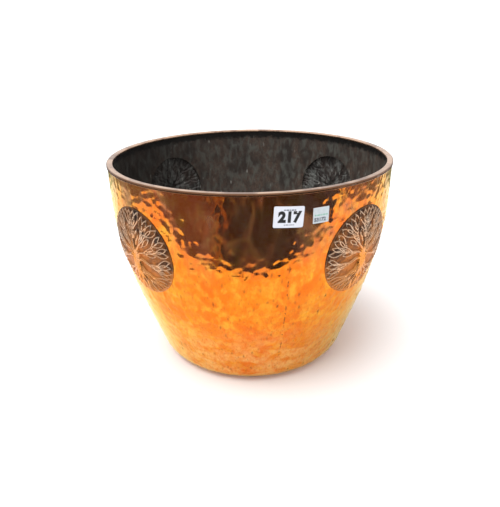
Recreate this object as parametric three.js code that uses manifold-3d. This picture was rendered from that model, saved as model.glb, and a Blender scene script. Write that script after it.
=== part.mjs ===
// Hammered copper planter bowl: a tapered sheet wall with a rounded foot, a base disc, a flat rim
// ring, four domed roundels over round openings in the wall, and two small stuck-on labels.
// Millimetres, +Z up. The origin is on the floor, on the bowl's axis. Angles run from the front
// (-Y) towards +X.

import * as THREE from 'three';
import * as BufferGeometryUtils from 'three/addons/utils/BufferGeometryUtils.js';
import Module from 'manifold-3d';

// Whole bowl
const height = 280; // floor to the top of the rim ring
const rimDiameter = 380; // over the rim ring
const clearance = 0.3; // gap wherever one piece lies on another

// Wall sheet
const sheet = 1.5;
const footDiameter = 276; // where the wall springs from the rounded foot
const footRadius = 26; // outside radius of the rounded foot
const bellyFullness = 0.533; // how far the lower wall keeps its lean, as a part of the height
const shoulderFullness = 0.318; // how far the upper wall stays upright, in the same way
const flangeWidth = 16; // flat turned-in flange that the bowl stands on

// Base disc, laid on the flange
const baseSheet = 1.5;
const baseInset = 1; // from the start of the foot's curve to the disc's edge

// Rim ring, grooved underneath for the wall's upper edge
const ringWidth = 8;
const ringThickness = 3.4;
const ringLip = 1.4; // how far the ring stands proud of the wall outside
const ringEdge = 1.1; // rounding of its upper edges
const ringGroove = 1.2;
const scarfAngle = 148; // where the ring's two ends meet
const scarfSlant = 45; // slant of that joint across the ring, degrees

// Roundels
const roundelCount = 4;
const firstRoundel = 45;
const roundelDiameter = 112;
const roundelDrop = 88; // from the ring's top down to the roundel's centre
const roundelSheet = 1.2;
const roundelRise = 3; // dome over the edge
const roundelLap = 4; // overlap on the wall round the opening

// Labels
const lotLabel = { width: 33, height: 23.5, corner: 1.6, angle: 13.1, drop: 27.2, lean: -3.8 };
const stockLabel = { width: 19.3, height: 17.6, corner: 0.4, angle: 24.3, drop: 29.2, lean: 0 };
const labelThickness = 0.3;

// Fineness of the curved faces
const turnSegments = 80;
const wallSteps = 9;
const footSteps = 4;
const discSegments = 32;
const labelSteps = 4;

const wasm = await Module();
wasm.setup();

const radians = THREE.MathUtils.degToRad;

// Outline of the wall's outside in (radius, height): the foot's arc, then one long curve that never
// turns back. The lower wall leans towards the rim's radius, and the upper wall stands upright.
const topRadius = rimDiameter / 2 - ringLip;
const topHeight = height - ringThickness + ringGroove - clearance;
const springRadius = footDiameter / 2;
const belly = new THREE.Vector2(topRadius - springRadius, bellyFullness * topHeight);
const flare = Math.atan2(belly.x, belly.y);
const springHeight = footRadius * (1 - Math.sin(flare));
const standRadius = springRadius - footRadius * Math.cos(flare);

const footArc = new THREE.Path();
footArc.absarc(standRadius, footRadius, footRadius, -Math.PI / 2, -flare, false);

const spring = new THREE.Vector2(springRadius, springHeight);
const wallCurve = new THREE.CubicBezierCurve(
  spring,
  spring.clone().add(belly),
  new THREE.Vector2(topRadius, topHeight * (1 - shoulderFullness)),
  new THREE.Vector2(topRadius, topHeight),
);
wallCurve.arcLengthDivisions = 400;
const wallLength = wallCurve.getLength();

// A point off the wall's outside, at a distance along the wall from the foot; offset is outwards.
function wallPoint(distance, offset) {
  const part = THREE.MathUtils.clamp(distance / wallLength, 0, 1);
  const point = wallCurve.getPointAt(part);
  const tangent = wallCurve.getTangentAt(part);
  return new THREE.Vector2(point.x + offset * tangent.y, point.y - offset * tangent.x);
}

// The distance along the wall at which its outside reaches a height.
function distanceAtHeight(wanted) {
  let low = 0;
  let high = wallLength;
  while (high - low > 0.001) {
    const middle = (low + high) / 2;
    if (wallPoint(middle, 0).y < wanted) low = middle;
    else high = middle;
  }
  return low;
}

// Turns a closed outline in (radius, height) about the vertical axis.
function turned(outline, segments) {
  return new THREE.LatheGeometry(outline, segments).rotateX(Math.PI / 2);
}

// A closed solid for cutting and joining.
function solid(geometry) {
  const bare = geometry.clone();
  bare.deleteAttribute('normal');
  bare.deleteAttribute('uv');
  const merged = BufferGeometryUtils.mergeVertices(bare, 1e-4);
  return new wasm.Manifold(new wasm.Mesh({
    numProp: 3,
    vertProperties: new Float32Array(merged.attributes.position.array),
    triVerts: new Uint32Array(merged.index.array),
  }));
}

function geometryOf(manifold) {
  const mesh = manifold.getMesh();
  const geometry = new THREE.BufferGeometry();
  geometry.setAttribute('position', new THREE.BufferAttribute(new Float32Array(mesh.vertProperties), 3));
  geometry.setIndex(new THREE.BufferAttribute(new Uint32Array(mesh.triVerts), 1));
  geometry.computeVertexNormals();
  return geometry;
}

// Bends a flat piece, drawn with +X to the right, +Y up and +Z outwards, onto the wall's outside.
function bentOntoWall(geometry, angle, drop) {
  const centre = distanceAtHeight(height - drop);
  const positions = geometry.attributes.position;
  for (let i = 0; i < positions.count; i += 1) {
    const distance = centre + positions.getY(i);
    const point = wallPoint(distance, positions.getZ(i));
    const turn = radians(angle) + positions.getX(i) / wallPoint(distance, 0).x;
    positions.setXYZ(i, point.x * Math.sin(turn), -point.x * Math.cos(turn), point.y);
  }
  return geometry;
}

// A round plug through the wall sheet, a little longer than the sheet is thick.
function openingPlug(angle) {
  const radius = roundelDiameter / 2 - roundelLap;
  const margin = 3;
  const low = -sheet - margin;
  const outline = [[0, low], [radius / 2, low], [radius, low], [radius, margin], [radius / 2, margin], [0, margin]];
  const points = outline.map(([x, y]) => new THREE.Vector2(x, y));
  return solid(bentOntoWall(turned(points, discSegments), angle, roundelDrop));
}

function roundelAngles() {
  return Array.from({ length: roundelCount }, (_, i) => firstRoundel + (i * 360) / roundelCount);
}

// The wall: outside from the flange's inner edge up to the rim, and back down the inside.
function wallGeometry() {
  const outside = [new THREE.Vector2(standRadius - flangeWidth, 0)];
  const inside = [new THREE.Vector2(standRadius - flangeWidth, sheet)];
  const toCentre = new THREE.Vector2();
  const centre = new THREE.Vector2(standRadius, footRadius);
  for (const point of footArc.curves[0].getPoints(footSteps).slice(0, -1)) {
    outside.push(point);
    toCentre.subVectors(point, centre).multiplyScalar((footRadius - sheet) / footRadius);
    inside.push(new THREE.Vector2().addVectors(centre, toCentre));
  }
  for (let i = 0; i <= wallSteps; i += 1) {
    const distance = (wallLength * i) / wallSteps;
    outside.push(wallPoint(distance, 0));
    inside.push(wallPoint(distance, -sheet));
  }
  const outline = [...outside, ...inside.reverse(), outside[0].clone()];
  let wall = solid(turned(outline, turnSegments));
  for (const angle of roundelAngles()) wall = wall.subtract(openingPlug(angle));
  return geometryOf(wall);
}

function baseGeometry() {
  const radius = standRadius - baseInset;
  const low = sheet + clearance;
  const high = low + baseSheet;
  const outline = [[0, low], [radius, low], [radius, high], [0, high]];
  return turned(outline.map(([x, y]) => new THREE.Vector2(x, y)), turnSegments);
}

// The ring's section: rounded above, with a groove underneath that the wall's edge stands in.
function ringGeometry() {
  const outer = rimDiameter / 2;
  const inner = outer - ringWidth;
  const low = height - ringThickness;
  const grooveOuter = topRadius + clearance;
  const grooveInner = topRadius - sheet - clearance;
  const section = new THREE.Path();
  section.moveTo(inner, low);
  section.lineTo(grooveInner, low);
  section.lineTo(grooveInner, low + ringGroove);
  section.lineTo(grooveOuter, low + ringGroove);
  section.lineTo(grooveOuter, low);
  section.lineTo(outer, low);
  section.absarc(outer - ringEdge, height - ringEdge, ringEdge, 0, Math.PI / 2, false);
  section.absarc(inner + ringEdge, height - ringEdge, ringEdge, Math.PI / 2, Math.PI, false);
  section.closePath();
  const arcSteps = 2;
  const ring = solid(turned(section.getPoints(arcSteps), turnSegments));
  const slit = new THREE.BoxGeometry(clearance, 3 * ringWidth, 3 * ringThickness);
  slit.rotateZ(radians(scarfSlant));
  slit.translate(0, -(inner + outer) / 2, height);
  slit.rotateZ(radians(scarfAngle));
  return geometryOf(ring.subtract(solid(slit)));
}

// A roundel: a thin dome whose flat border laps onto the wall round the opening.
function roundelGeometry(angle) {
  const edge = roundelDiameter / 2;
  const opening = edge - roundelLap;
  const domeHeight = (radius) => clearance + roundelSheet
    + roundelRise * Math.sqrt(Math.max(0, 1 - (radius / edge) ** 2));
  const rings = [0, 0.3, 0.55, 0.78, 1].map((part) => part * opening);
  const underside = rings.map((radius) => [radius, domeHeight(radius) - roundelSheet]);
  const topside = [edge, ...rings.toReversed()].map((radius) => [radius, domeHeight(radius)]);
  const outline = [...underside, [opening, clearance], [edge, clearance], ...topside];
  const points = outline.map(([x, y]) => new THREE.Vector2(x, y));
  return bentOntoWall(turned(points, discSegments), angle, roundelDrop);
}

// A label: a thin sheet bent to the wall, its corners rounded by a prism that stands on it.
function labelGeometry(label) {
  const sheetOfPaper = new THREE.BoxGeometry(label.width, label.height, labelThickness, labelSteps, 2, 1);
  sheetOfPaper.translate(0, 0, clearance + labelThickness / 2);
  const shape = new THREE.Shape();
  const x = label.width / 2 - label.corner;
  const y = label.height / 2 - label.corner;
  shape.absarc(x, y, label.corner, 0, Math.PI / 2, false);
  shape.absarc(-x, y, label.corner, Math.PI / 2, Math.PI, false);
  shape.absarc(-x, -y, label.corner, Math.PI, 1.5 * Math.PI, false);
  shape.absarc(x, -y, label.corner, 1.5 * Math.PI, 2 * Math.PI, false);
  const reach = 10;
  const prism = new THREE.ExtrudeGeometry(shape, { depth: 2 * reach, bevelEnabled: false, curveSegments: 3 });
  prism.translate(0, 0, -reach);
  for (const piece of [sheetOfPaper, prism]) piece.rotateZ(radians(label.lean));
  const centre = wallPoint(distanceAtHeight(height - label.drop), 0);
  prism.rotateX(Math.PI / 2);
  prism.translate(0, -centre.x, centre.y);
  prism.rotateZ(radians(label.angle));
  const bent = bentOntoWall(sheetOfPaper, label.angle, label.drop);
  return geometryOf(solid(bent).intersect(solid(prism)));
}

function metal(color, roughness) {
  return new THREE.MeshStandardMaterial({ color, roughness, metalness: 1 });
}

function paper(color) {
  return new THREE.MeshStandardMaterial({ color, roughness: 0.8, metalness: 0 });
}

const bowl = new THREE.Group();

function add(name, geometry, material) {
  const mesh = new THREE.Mesh(geometry, material);
  mesh.name = name;
  bowl.add(mesh);
}

add('body_wall', wallGeometry(), metal(0xd9782c, 0.22));
add('base_disc', baseGeometry(), metal(0x6b4a38, 0.5));
add('rim_ring', ringGeometry(), metal(0xb89584, 0.35));
const roundelNames = ['front_right', 'back_right', 'back_left', 'front_left'];
roundelAngles().forEach((angle, i) => {
  const place = roundelNames[i] ?? `extra_${i + 1}`;
  add(`roundel_${place}`, roundelGeometry(angle), metal(0x8a5a3c, 0.4));
});
add('lot_label', labelGeometry(lotLabel), paper(0xeef0f5));
add('stock_label', labelGeometry(stockLabel), paper(0xdfe6e4));

export default bowl;
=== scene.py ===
"""Hammered copper planter bowl: its detailed pieces, their finishes and the studio they stand in."""

import logging
import math
from collections.abc import Callable, Iterable, Sequence
from dataclasses import dataclass, field
from enum import Enum

import bmesh
import bpy
import numpy as np
from mathutils import Matrix, Vector, kdtree, noise


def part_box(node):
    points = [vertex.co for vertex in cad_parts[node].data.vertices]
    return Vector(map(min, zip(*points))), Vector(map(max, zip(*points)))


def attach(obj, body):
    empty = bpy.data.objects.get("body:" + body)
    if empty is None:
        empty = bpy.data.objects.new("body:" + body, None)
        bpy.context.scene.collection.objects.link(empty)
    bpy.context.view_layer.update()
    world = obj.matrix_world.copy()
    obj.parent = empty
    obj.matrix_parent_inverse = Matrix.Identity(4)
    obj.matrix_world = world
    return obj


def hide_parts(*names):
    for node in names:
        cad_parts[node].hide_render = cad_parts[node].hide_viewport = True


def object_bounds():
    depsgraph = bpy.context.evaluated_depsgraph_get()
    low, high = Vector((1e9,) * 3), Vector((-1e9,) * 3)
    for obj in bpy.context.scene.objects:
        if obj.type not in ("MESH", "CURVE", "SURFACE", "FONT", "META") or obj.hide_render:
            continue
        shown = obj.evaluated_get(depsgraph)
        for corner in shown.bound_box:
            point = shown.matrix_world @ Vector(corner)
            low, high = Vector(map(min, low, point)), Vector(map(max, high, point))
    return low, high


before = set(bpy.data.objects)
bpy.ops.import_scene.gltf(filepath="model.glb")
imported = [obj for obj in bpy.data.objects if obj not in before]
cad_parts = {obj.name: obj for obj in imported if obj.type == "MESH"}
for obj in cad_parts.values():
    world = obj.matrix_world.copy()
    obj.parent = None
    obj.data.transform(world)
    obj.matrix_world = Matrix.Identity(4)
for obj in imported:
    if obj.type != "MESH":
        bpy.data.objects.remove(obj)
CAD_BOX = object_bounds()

LOG = logging.getLogger("planter_bowl")
MM = 0.001
SHEET = 1.5 * MM
LABEL_SIZES = {"lot_label": (33 * MM, 23.5 * MM), "stock_label": (19.3 * MM, 17.6 * MM)}
BRAZE_GAP = 0.3 * MM
UP = Vector((0.0, 0.0, 1.0))


# ------------------------------------------------------------------ shape of the wall


def cubic(ends: np.ndarray, share: np.ndarray | float) -> np.ndarray:
    """The place at a share of the way along a cubic curve with four control points."""
    rest = 1 - share
    return (
        rest ** 3 * ends[0] + 3 * rest ** 2 * share * ends[1]
        + 3 * rest * share ** 2 * ends[2] + share ** 3 * ends[3]
    )


class WallOutline:
    """The outside outline of the wall, in radius and height, measured along its length.

    Distances count upwards from the place where the wall springs from the rounded foot.
    The foot and the flange lie at negative distances.
    """

    foot_diameter = 276 * MM
    foot_radius = 26 * MM
    flange_width = 16 * MM
    belly_fullness = 0.533
    shoulder_fullness = 0.318
    samples = 600

    def __init__(self) -> None:
        """Takes the wall's top from the frame and measures the outline."""
        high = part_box("body_wall")[1]
        self.top_radius = high.x
        self.top_height = high.z
        spring_radius = self.foot_diameter / 2
        belly = np.array([self.top_radius - spring_radius, self.belly_fullness * self.top_height])
        flare = math.atan2(belly[0], belly[1])
        self.stand_radius = spring_radius - self.foot_radius * math.cos(flare)
        spring = np.array([spring_radius, self.foot_radius * (1 - math.sin(flare))])
        ends = np.array([
            spring,
            spring + belly,
            [self.top_radius, self.top_height * (1 - self.shoulder_fullness)],
            [self.top_radius, self.top_height],
        ])
        wall = cubic(ends, np.linspace(0, 1, self.samples)[:, None])
        turn = np.linspace(-math.pi / 2, -flare, self.samples // 4)[:, None]
        foot = self.foot_radius * np.hstack([np.cos(turn), 1 + np.sin(turn)])
        foot[:, 0] += self.stand_radius
        flange = np.array([[self.stand_radius - self.flange_width, 0.0]])
        points = np.vstack([flange, foot[:-1], wall])
        lengths = np.concatenate([[0], np.cumsum(np.hypot(*np.diff(points, axis=0).T))])
        self.distances = lengths - lengths[len(points) - self.samples]
        self.points = points
        slopes = np.gradient(points, self.distances, axis=0)
        slopes /= np.linalg.norm(slopes, axis=1)[:, None]
        self.normals = np.column_stack([slopes[:, 1], -slopes[:, 0]])

    @property
    def start(self) -> float:
        """The distance at the flange's inner edge."""
        return float(self.distances[0])

    @property
    def length(self) -> float:
        """The distance at the wall's top."""
        return float(self.distances[-1])

    def radius(self, distance: np.ndarray) -> np.ndarray:
        """The outside radius at each distance."""
        return np.interp(distance, self.distances, self.points[:, 0])

    def at(self, distance: np.ndarray, offset: np.ndarray | float = 0.0) -> tuple[np.ndarray, np.ndarray]:
        """Gives the radius and height at each distance.

        Args:
            distance: Places along the outline.
            offset: How far off the outside face, outwards.

        Returns:
            The radii and the heights.
        """
        radius, height = (np.interp(distance, self.distances, self.points[:, i]) for i in (0, 1))
        out, up = (np.interp(distance, self.distances, self.normals[:, i]) for i in (0, 1))
        return radius + offset * out, height + offset * up

    def distance_at(self, height: np.ndarray | float, offset: float = 0.0) -> np.ndarray:
        """The distance at which the face that lies offset off the outside reaches each height."""
        heights = self.at(self.distances, offset)[1]
        rising = np.maximum.accumulate(heights)
        return np.interp(height, rising, self.distances)


@dataclass(frozen=True)
class Spot:
    """A place on the wall that a piece is bent round.

    Attributes:
        angle: Turn from the front towards the bowl's right, in radians.
        centre: Distance of the spot along the outline.
    """

    angle: float
    centre: float

    @classmethod
    def of_node(cls, node: str, outline: WallOutline) -> "Spot":
        """Reads a spot from the middle of a CAD node's vertices."""
        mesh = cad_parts[node].data
        corners = np.array([corner.co for corner in mesh.vertices])
        angles = np.arctan2(corners[:, 0], -corners[:, 1])
        turn = math.atan2(np.sin(angles).mean(), np.cos(angles).mean())
        spread = (angles - turn + math.pi) % (2 * math.pi) - math.pi
        angle = turn + (spread.max() + spread.min()) / 2
        distances = outline.distance_at(corners[:, 2])
        return cls(float(angle), float((distances.max() + distances.min()) / 2))

    def bend(self, outline: WallOutline, flat: np.ndarray) -> np.ndarray:
        """Bends flat points onto the wall.

        Args:
            outline: The wall's outline.
            flat: Rows of right, up and outwards, measured from the spot.

        Returns:
            Rows of x, y and z.
        """
        distance = self.centre + flat[:, 1]
        radius, height = outline.at(distance, flat[:, 2])
        turn = self.angle + flat[:, 0] / outline.radius(distance)
        return np.column_stack([radius * np.sin(turn), -radius * np.cos(turn), height])

    def unroll(self, outline: WallOutline, sheet: np.ndarray) -> np.ndarray:
        """Gives the right and up, from the spot, of rows of turn and distance."""
        turn = (sheet[:, 0] - self.angle + math.pi) % (2 * math.pi) - math.pi
        return np.column_stack([turn * outline.radius(sheet[:, 1]), sheet[:, 1] - self.centre])


# ------------------------------------------------------------------ mesh helpers


def coordinates(mesh: bpy.types.Mesh) -> np.ndarray:
    """All of a mesh's vertex places, as rows."""
    values = np.empty(len(mesh.vertices) * 3)
    mesh.vertices.foreach_get("co", values)
    return values.reshape(-1, 3)


def move_to(mesh: bpy.types.Mesh, places: np.ndarray) -> None:
    """Moves a mesh's vertices to new places."""
    mesh.vertices.foreach_set("co", places.ravel())
    mesh.update()


def add_faces_of(bm: bmesh.types.BMesh, before: set, material: int) -> None:
    """Gives a material index to every face that wasn't there before."""
    for face in bm.faces:
        if face not in before:
            face.material_index = material


def spin_section(
    bm: bmesh.types.BMesh, section: Iterable[Sequence[float]], steps: int, closed: bool = False
) -> None:
    """Spins a section about the bowl's axis and adds the surface to a bmesh.

    Args:
        bm: The bmesh that takes the surface.
        section: Radius and height of each point.
        steps: Steps in the whole turn.
        closed: Whether the section's last point joins its first.
    """
    verts = [bm.verts.new((0.0, -radius, height)) for radius, height in section]
    pairs = list(zip(verts, verts[1:]))
    if closed:
        pairs.append((verts[-1], verts[0]))
    edges = [bm.edges.new(pair) for pair in pairs]
    bmesh.ops.spin(
        bm, geom=verts + edges, cent=(0, 0, 0), axis=UP, dvec=(0, 0, 0), angle=2 * math.pi,
        steps=steps, use_merge=True, use_duplicate=False,
    )


def mesh_from(bm: bmesh.types.BMesh, name: str, sharp_above: float = 40.0) -> bpy.types.Mesh:
    """Closes a bmesh off as a smooth-shaded mesh whose hard edges stay hard.

    Args:
        bm: The finished bmesh, which is freed.
        name: The mesh's name.
        sharp_above: Edges that turn by more than this many degrees stay hard.

    Returns:
        The new mesh.
    """
    bmesh.ops.recalc_face_normals(bm, faces=bm.faces)
    for face in bm.faces:
        face.smooth = True
    limit = math.radians(sharp_above)
    for edge in bm.edges:
        edge.smooth = not edge.is_manifold or edge.calc_face_angle(0.0) < limit
    mesh = bpy.data.meshes.new(name)
    bm.to_mesh(mesh)
    bm.free()
    return mesh


def add_piece(
    mesh: bpy.types.Mesh, materials: Iterable[bpy.types.Material], node: str | None
) -> bpy.types.Object:
    """Puts a finished mesh into the scene on the bowl's one body.

    Args:
        mesh: The mesh, which gives the piece its name.
        materials: Its materials, in order of material index.
        node: The CAD node that the piece stands for, if any.

    Returns:
        The new object.
    """
    piece = bpy.data.objects.new(mesh.name, mesh)
    bpy.context.scene.collection.objects.link(piece)
    for material in materials:
        mesh.materials.append(material)
    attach(piece, "root")
    if node:
        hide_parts(node)
    LOG.info("%s: %d vertices, %d faces", piece.name, len(mesh.vertices), len(mesh.polygons))
    return piece


def slow_noise(points: np.ndarray, size: float, seed: float) -> np.ndarray:
    """Smooth noise between -1 and 1 whose lumps are about one size across."""
    shift = Vector((seed, 2.3 * seed, -1.7 * seed))
    return np.array([noise.noise(Vector(point) / size + shift) for point in points])


# ------------------------------------------------------------------ hammer marks


@dataclass(frozen=True)
class Planishing:
    """Overlapping hammer blows in rows round the wall.

    Attributes:
        pitch: Distance between blows.
        scatter: How far a blow strays from its place, as a part of the pitch.
        tilt: Spread of each facet's tilt, as a slope.
        dish: Depth of each facet's hollow.
        blend: Width over which two facets run into each other.
        swell: Height of the slow unevenness of the whole sheet.
        swell_size: Distance across one slow swell.
        seed: Seed of the scatter.
    """

    pitch: float = 8.3 * MM
    scatter: float = 0.25
    tilt: float = 0.052
    dish: float = 0.14 * MM
    blend: float = 1.0 * MM
    swell: float = 0.40 * MM
    swell_size: float = 70 * MM
    seed: int = 11

    def blows(self, outline: WallOutline) -> tuple[np.ndarray, np.ndarray]:
        """Places the blows.

        Args:
            outline: The wall's outline.

        Returns:
            The blows' places, and the two slopes, the depth and the tone of each.
        """
        rng = np.random.default_rng(self.seed)
        places = []
        first_row = -outline.foot_radius * 0.8
        for row, distance in enumerate(np.arange(first_row, outline.length, 0.9 * self.pitch)):
            radius = float(outline.radius(distance))
            count = round(2 * math.pi * radius / self.pitch)
            turns = (np.arange(count) + 0.5 * (row % 2)) * 2 * math.pi / count
            turns += rng.normal(0, self.scatter * self.pitch / radius, count)
            along = distance + rng.normal(0, self.scatter * self.pitch, count)
            radii, heights = outline.at(along)
            places.append(np.column_stack([radii * np.sin(turns), -radii * np.cos(turns), heights]))
        centres = np.vstack(places)
        shapes = np.column_stack([
            rng.normal(0, self.tilt, len(centres)),
            rng.normal(0, self.tilt, len(centres)),
            self.dish * rng.uniform(0.4, 1.6, len(centres)),
            rng.uniform(-1, 1, len(centres)),
        ])
        return centres, shapes

    def strike(self, outline: WallOutline, points: np.ndarray) -> tuple[np.ndarray, np.ndarray, np.ndarray]:
        """Works out how far the hammered face stands off the smooth outline, and how it is marked.

        Args:
            outline: The wall's outline.
            points: Places on the outline.

        Returns:
            For each place, its height outwards, the tone of its blow and how near it is to a ridge.
        """
        centres, shapes = self.blows(outline)
        tree = kdtree.KDTree(len(centres))
        for index, centre in enumerate(centres):
            tree.insert(centre, index)
        tree.balance()
        nearest = np.array([[hit[1] for hit in tree.find_n(point, 4)] for point in points])
        away = points[:, None, :] - centres[nearest]
        squares = (away ** 2).sum(2)
        weights = np.exp(-(squares - squares[:, :1]) / self.blend ** 2 / 2)
        turns = np.arctan2(points[:, 0], -points[:, 1])
        around = np.column_stack([np.cos(turns), np.sin(turns), np.zeros(len(turns))])
        sideways = (away * around[:, None, :]).sum(2)
        slopes = shapes[nearest]
        hollow = slopes[:, :, 2] * (squares / (self.pitch / 2) ** 2 - 0.6)
        facets = slopes[:, :, 0] * sideways + slopes[:, :, 1] * away[:, :, 2] + hollow
        marks = (weights * facets).sum(1) / weights.sum(1)
        strength = 0.85 + 0.35 * slow_noise(points, self.swell_size, 4.1)
        heights = marks * strength + self.swell * slow_noise(points, self.swell_size, 9.7)
        tones = (weights * slopes[:, :, 3]).sum(1) / weights.sum(1)
        return heights, tones, 1 - weights.max(1) / weights.sum(1)


# ------------------------------------------------------------------ the tree in relief


@dataclass
class Relief:
    """A height map of the chased tree, on a square that just holds the roundel.

    Attributes:
        radius: Radius of the roundel.
        step: Spacing of the map's samples.
        field: The heights, 0 on the ground between the branches.
    """

    radius: float
    step: float = 0.25 * MM
    field: np.ndarray = field(init=False)

    def __post_init__(self) -> None:
        """Starts with an empty ground."""
        count = 2 * math.ceil(self.radius / self.step) + 1
        self.field = np.zeros((count, count))

    def dab(self, place: np.ndarray, half_width: float, height: float) -> None:
        """Raises one round spot of a stroke."""
        middle = (len(self.field) - 1) / 2
        column, row = place / self.step + middle
        reach = math.ceil(half_width / self.step) + 1
        low_x, low_y = max(0, round(column) - reach), max(0, round(row) - reach)
        high_x, high_y = round(column) + reach + 1, round(row) + reach + 1
        patch = self.field[low_y:high_y, low_x:high_x]
        if patch.size == 0:
            return
        ys, xs = np.mgrid[low_y:low_y + patch.shape[0], low_x:low_x + patch.shape[1]]
        squares = ((xs - column) ** 2 + (ys - row) ** 2) * (self.step / half_width) ** 2
        np.maximum(patch, height * np.clip(1 - squares, 0, 1) ** 0.7, out=patch)

    def stroke(self, bends: np.ndarray, widths: tuple[float, float], heights: tuple[float, float]) -> None:
        """Raises a tapering stroke along a cubic curve.

        Args:
            bends: The curve's four control points.
            widths: Half width at its start and at its end.
            heights: Height at its start and at its end.
        """
        span = np.hypot(*np.diff(bends, axis=0).T).sum()
        for share in np.linspace(0, 1, max(2, int(span / self.step))):
            half_width = widths[0] + (widths[1] - widths[0]) * share
            height = heights[0] + (heights[1] - heights[0]) * share
            self.dab(cubic(bends, share), half_width, height)

    def blurred(self, size: float) -> "Relief":
        """A copy that is softened over a distance, as the sheet's reverse is."""
        copy = Relief(self.radius, self.step)
        reach = math.ceil(size / self.step)
        kernel = np.hanning(2 * reach + 3)[1:-1]
        kernel /= kernel.sum()
        rows = np.apply_along_axis(np.convolve, 1, self.field, kernel, "same")
        copy.field = np.apply_along_axis(np.convolve, 0, rows, kernel, "same")
        return copy

    def heights(self, flat: np.ndarray) -> np.ndarray:
        """The map's height at each right and up, between its samples."""
        middle = (len(self.field) - 1) / 2
        spots = np.clip(flat[:, :2] / self.step + middle, 0, len(self.field) - 1.001)
        whole = spots.astype(int)
        x, y = (spots - whole).T
        column, row = whole.T
        low = self.field[row, column] * (1 - x) + self.field[row, column + 1] * x
        high = self.field[row + 1, column] * (1 - x) + self.field[row + 1, column + 1] * x
        return low * (1 - y) + high * y


def polar(angle: float, distance: float) -> np.ndarray:
    """A point at a clockwise angle from straight up."""
    return distance * np.array([math.sin(angle), math.cos(angle)])


class Cut(Enum):
    """The chaser's strokes: half widths at start and end, then heights at start and end, in mm."""

    LEAF = (0.92, 0.75, 1.55, 1.35)
    VEIN = (0.35, 0.3, 0.45, 0.35)
    LIMB = (2.5, 1.35, 2.6, 2.0)
    BRANCH = (1.3, 0.95, 2.0, 1.7)
    TWIG = (0.95, 0.80, 1.7, 1.5)
    SPRIG = (0.9, 0.9, 1.6, 1.6)
    TRUNK = (6.8, 5.2, 2.3, 2.2)
    STRAND = (1.7, 1.4, 3.0, 2.8)
    ROOT = (2.1, 1.35, 2.7, 2.1)
    ROOTLET = (1.1, 0.70, 1.9, 1.2)
    HATCH = (0.45, 0.3, 0.55, 0.3)


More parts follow.
